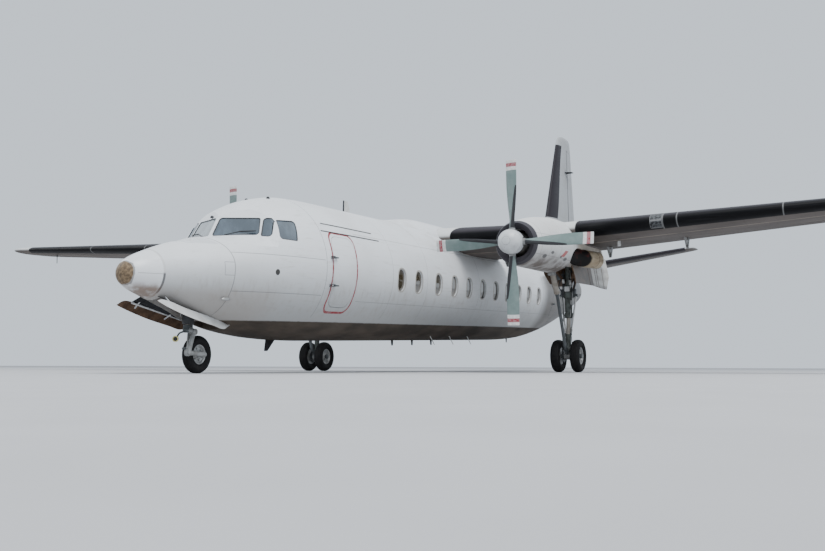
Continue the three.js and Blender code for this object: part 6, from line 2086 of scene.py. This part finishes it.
def straight_row(rows, x):
    """Straight lines through the rows, at x."""
    for a, b in zip(rows, rows[1:]):
        if x >= b[0]:
            t = (a[0] - x) / (a[0] - b[0])
            return [x] + [a[k] + (b[k] - a[k]) * t for k in range(1, len(a))]
    return list(rows[-1])


def surface_z(x, y, below=True):
    """Height of the body surface at x and y."""
    _, half, top, bottom, wide = row_at(BODY_ROWS, x)
    share = math.sqrt(max(0.0, 1 - (y / half) ** 2))
    return wide - (wide - bottom) * share if below else wide + (top - wide) * share


def make_main_doors():
    form = loft("nacelle_gap", [nacelle_ring(x, GAP) for x in steps(3.6, -2.69, 0.1) + [-2.69]])
    for place, handed in (("outer", 1), ("inner", -1)):
        rows = MAIN_DOOR_ROWS[place]
        y = NACELLE_Y + handed * (GEAR_BAY["half"] + 0.014)
        rings = []
        for x in steps(rows[0][0], rows[-1][0], 0.04) + [rows[-1][0]]:
            _, top, bottom = straight_row(rows, x)
            rings.append([(x, y + handed * shift, height) for shift, height in
                          ((0, top), (0.09, bottom), (0.111, bottom + 0.002), (0.022, top))])
        leaf = loft("main_door_" + place + "_work", rings)
        boolean(leaf, form, keep_tool=True)
        for side, sign in SIDES.items():
            name = "gear_door_" + place + "_" + side
            obj = copy_of(leaf, name) if sign > 0 else mirrored(leaf, name)
            obj.data.shade_flat()
            outside = sign * handed
            settle(obj, "airframe", [M["gear_door"], M["door_inside"]], ["main_door_{}_{}".format(place, side)])
            for face in obj.data.polygons:
                face.material_index = 0 if side_of(obj.data, face) * outside > 0.3 else 1
        remove(leaf)
    remove(form)


def make_nose_doors():
    at = NOSE_DOOR
    rings = []
    for x in steps(NOSE_DOOR_ROWS[0][0], NOSE_DOOR_ROWS[-1][0], 0.04) + [NOSE_DOOR_ROWS[-1][0]]:
        _, upper, lower = row_at(NOSE_DOOR_ROWS, x)
        rings.append([(x, at["upper_y"], upper), (x, at["lower_y"], lower), (x, at["lower_y"] + at["thick"], lower),
                      (x, at["upper_y"] + at["thick"], upper)])
    leaf = loft("nose_door_work", rings)
    skin = loft("body_gap", body_rings(NOSE_X - 0.02, 8.6, GAP))
    boolean(leaf, skin, keep_tool=True)
    # a plate from the door leaf's upper edge up to the body, for the upper part of the leaf; its near-black paint is
    # painted shade
    rings = []
    for x in steps(11.0, 9.5, 0.05) + [9.5]:
        _, upper, _ = row_at(NOSE_DOOR_ROWS, x)
        inner = surface_z(x, at["panel_y"]) + 0.03
        rings.append([(x, at["upper_y"] + 0.006, upper - 0.012), (x, at["upper_y"] + 0.006, upper - 0.003),
                      (x, at["panel_y"], inner), (x, at["panel_y"], inner - 0.009)])
    panel = boolean(loft("nose_door_panel_work", rings), skin, keep_tool=True)
    rails = []
    for x in at["arm_x"]:
        _, upper, lower = straight_row(NOSE_DOOR_ROWS, x)
        low = (x, (at["upper_y"] + at["lower_y"]) / 2, (upper + lower) / 2)
        rails.append(rod("door_arm", low, (x, 0.2, surface_z(x, 0.2) + 0.05), 0.013, 16))
    ends = [straight_row(NOSE_DOOR_ROWS, x) for x in (11.02, 9.75)]
    rails.append(rod("hinge_rail", *[(x, at["upper_y"] - 0.018, upper - 0.004) for x, upper, _ in ends], at["rod"], 16))
    rail = join("nose_door_rail_work", rails)
    boolean(rail, skin)
    for side, sign in SIDES.items():
        pair = []
        for source, name in ((leaf, "nose_door_leaf_" + side), (rail, "nose_door_rail_" + side),
                             (panel, "nose_door_panel_" + side)):
            pair.append(copy_of(source, name) if sign > 0 else mirrored(source, name))
        pair[0].data.shade_flat()
        mesh = pair[0].data
        settle(pair[0], "airframe", [M["door_edge"], M["door_inside"]], ["nose_door_" + side])
        for face in mesh.polygons:
            face.material_index = 0 if side_of(mesh, face) * sign > 0.2 else 1
        put(pair[1], "airframe", M["rod_paint"])
        put(pair[2], "airframe", M["panel_black"])
    remove(panel)
    remove(leaf)
    remove(rail)


def gear_door_paint():
    """Brown-grey and dark ahead of the joint, lighter behind it, darker towards the bottom."""
    s = Shader("gear_door_paint")
    front = s.mix(s.spots(3.0, 0.35, 0.7, stretch=(1, 1, 2)), (0.17, 0.135, 0.11), (0.11, 0.095, 0.085))
    aft = s.mix(s.spots(3.5, 0.35, 0.75, stretch=(0.6, 1, 2)), (0.56, 0.55, 0.52), (0.34, 0.32, 0.30))
    color = s.mix(s.rise(s.x, -0.615, -0.6), aft, front)
    low = s.rise(s.z, -0.09, 0.02, 1.0, 0.0)
    color = s.mix(s.mul(low, 0.5), color, (0.13, 0.12, 0.115))
    joint = s.either(s.line(s.x, -0.607, 0.014), s.line(s.x, 0.3, 0.008))
    color = s.mix(s.mul(joint, 0.7), color, (0.06, 0.05, 0.045))
    s.bump(s.add(s.mul(joint, -0.8), s.noise(6.0, 3.0)), 0.004, 0.4)
    return s.done(color, 0.5)


M["gear_door"] = gear_door_paint()
M["rod_paint"] = plain("rod_paint", (0.62, 0.63, 0.64), 0.4, vary=0.4, scale=12.0)
M["panel_black"] = plain("panel_black", (0.010, 0.010, 0.013), 0.8, vary=0.6, scale=6.0)
M["gear_black"] = plain("gear_black", (0.028, 0.03, 0.034), 0.45, 0.2, vary=0.5, scale=9.0)
make_wheels()
make_main_legs()
make_nose_gear()
make_main_doors()
make_nose_doors()


# Antennas, drains, lights and other small pieces of the body, wing and fin
def blade_antenna(name, root, tip, chords, thick, across=(0, 1, 0)):
    """A thin plate with rounded edges from root to tip; root and tip are the front corners."""
    root, tip, across = Vector(root), Vector(tip), Vector(across)
    rings = []
    for share, left in ((0, 1), (0.5, 1), (0.9, 1), (0.97, 0.94), (1, 0.8)):
        lead = root.lerp(tip, share)
        chord = (chords[0] + (chords[1] - chords[0]) * share) * left
        lead = lead - Vector((chords[0] + (chords[1] - chords[0]) * share, 0, 0)) * (1 - left) / 2
        ring = []
        for k in range(24):
            angle = 2 * math.pi * k / 24
            along = (1 - math.cos(angle)) / 2 * chord
            ring.append(tuple(lead - Vector((along, 0, 0)) + across * (math.sin(angle) * thick / 2 * left)))
        rings.append(ring)
    return loft(name, rings)


def body_line(name, places, radius):
    """A thin strip that lies on the port side of the body; places are x and z."""
    points = []
    for x in steps(places[0][0], places[-1][0], 0.15) + [places[-1][0]]:
        _, z = straight_row(places, x)
        points.append((x, body_half_width(x, z) + radius * 0.2, z))
    return tube(name, points, radius, 10, 1)


def side_normal(x, z):
    """Outward direction of the body's port surface."""
    step = 0.01
    slope = (body_half_width(x, z + step) - body_half_width(x, z - step)) / (2 * step)
    along = (body_half_width(x + step, z) - body_half_width(x - step, z)) / (2 * step)
    return Vector((-along, 1, -slope)).normalized()


ROOF_ANTENNA = {"x": 4.79, "top_x": 4.77, "top": 1.69, "chords": (0.33, 0.21), "thick": 0.022}
BELLY_MASTS = (1.40, 0.25, -0.93)
BELLY_BLADES = (2.54, 1.46, 0.34, -5.2)
NOSE_BLADE = {"x": 7.74, "tip_x": 7.79, "reach": 0.215, "chords": (0.34, 0.12), "thick": 0.02}
GUTTERS = {"upper": [(7.49, 0.828), (5.54, 0.818)], "lower": [(7.62, 0.672), (5.36, 0.672)]}
FIN_BLADE = {"x": -11.28, "z": 4.77, "root_y": 0.04, "reach": 0.3, "chords": (0.46, 0.3), "thick": 0.024}
WIPER = [(9.352, 0.26, 0.48), (9.19, 0.455, 0.543), (9.05, 0.7, 0.553)]
ROOF_LIGHTS = [("cockpit_light_port", 8.02, 0.247), ("cockpit_light_starboard", 8.02, -0.247),
               ("visor_light", 9.1, -0.218)]
WING_MAST = {"x": 0.71, "y": 12.7, "drop": 0.3, "radius": 0.014}
SIDE_FAIRING = {"x": 9.93, "z": -0.675, "half": 0.12, "radius": 0.034}
STATIC_DISC = {"x": 9.037, "z": -0.193, "radius": 0.052}


def make_body_details():
    at = ROOF_ANTENNA
    root = (at["x"], 0, surface_z(at["x"], 0, False) - 0.02)
    tip = (at["top_x"], 0, at["top"])
    put(blade_antenna("roof_antenna", root, tip, at["chords"], at["thick"]), "airframe", M["mast"])
    edge = blade_antenna("roof_antenna_edge", Vector(root) + Vector((0.006, 0, 0)), Vector(tip) + Vector((0.006, 0, 0)),
                         (0.075, 0.06), at["thick"] * 0.9)
    put(edge, "airframe", M["boot"])
    masts = []
    for x in BELLY_MASTS:
        masts.append(rod("mast", (x, 0.5, surface_z(x, 0.5) + 0.01), (x - 0.05, 0.6, surface_z(x, 0.5) - 0.215), 0.013,
                         16, 0.008))
    put(join("belly_masts", masts), "airframe", M["mast"])
    blades = [blade_antenna("blade", (x, 0, surface_z(x, 0) + 0.02), (x - 0.03, 0, surface_z(x, 0) - 0.12),
                            (0.13, 0.08), 0.014) for x in BELLY_BLADES]
    at = NOSE_BLADE
    blades.append(blade_antenna("blade", (at["x"], 0, surface_z(at["x"], 0) + 0.02),
                                (at["tip_x"], 0, surface_z(at["x"], 0) - at["reach"]), at["chords"], at["thick"]))
    put(join("belly_blades", blades), "airframe", M["panel_black"])
    gutters = [body_line("gutter", rows, 0.010) for rows in GUTTERS.values()]
    put(join("door_gutters", gutters), "airframe", M["seam"])
    for name, x, y in ROOF_LIGHTS:
        foot = surface_z(x, y, False) if x < 8.9 else 0.84
        dome = lathe(name, [(0, 0.036), (0.012, 0.036), (0.03, 0.028), (0.042, 0.014), (0.045, 0)],
                     (x, y, foot - 0.006), (0.12, 0, 1), 32)
        put(dome, "airframe", M["gear_black"])


def make_side_details():
    for side, sign in SIDES.items():
        at = SIDE_FAIRING
        out = side_normal(at["x"], at["z"])
        middle = Vector((at["x"], body_half_width(at["x"], at["z"]), at["z"])) + out * 0.012
        rings = []
        for k in range(17):
            share = -math.cos(math.pi * k / 16)
            radius = at["radius"] * math.sqrt(max(0.0, 1 - share ** 2)) + 0.001
            up = Vector((0, out.z, -out.y)).normalized()
            rings.append([tuple(middle + Vector((at["half"] * share, 0, 0)) + out * radius * math.cos(a)
                                + up * radius * math.sin(a))
                          for a in [2 * math.pi * j / 20 for j in range(20)]])
        bump = loft("side_fairing", rings)
        at = STATIC_DISC
        out = side_normal(at["x"], at["z"])
        middle = Vector((at["x"], body_half_width(at["x"], at["z"]), at["z"]))
        disc = lathe("static_disc", [(-0.004, at["radius"]), (0.002, at["radius"]), (0.004, at["radius"] - 0.006)],
                     middle, out, 40)
        arm = tube("wiper", WIPER[:2], 0.009, 10, 1)
        wiper = join("wiper", [arm, rod("wiper_blade", WIPER[1], WIPER[2], 0.013, 12, 0.009),
                               rod("wiper_foot", WIPER[0], Vector(WIPER[0]) - Vector((0.03, 0, 0.03)), 0.02, 16)])
        at = FIN_BLADE
        blade = blade_antenna("fin_blade", (at["x"], at["root_y"], at["z"]),
                              (at["x"] - 0.2, at["root_y"] + at["reach"], at["z"] + 0.02), at["chords"], at["thick"],
                              (0, 0, 1))
        at = WING_MAST
        top = wing_at(at["y"])["z"]
        mast = rod("wing_mast", (at["x"], at["y"], top - 0.05), (at["x"], at["y"], top - at["drop"] - 0.1),
                   at["radius"], 16, at["radius"] * 0.7)
        for obj, name, material, slot in ((bump, "side_fairing_", "metal", "bare_metal"),
                                          (disc, "static_disc_", "seam", "grey_paint"),
                                          (wiper, "wiper_", "gear_black", "gear_steel"),
                                          (blade, "fin_blade_", "panel_black", "white_composite"),
                                          (mast, "wing_mast_", "gear_black", "bare_metal")):
            kept = copy_of(obj, name + side) if sign > 0 else mirrored(obj, name + side)
            put(kept, "airframe", M[material])
            remove(obj)


make_body_details()
make_side_details()
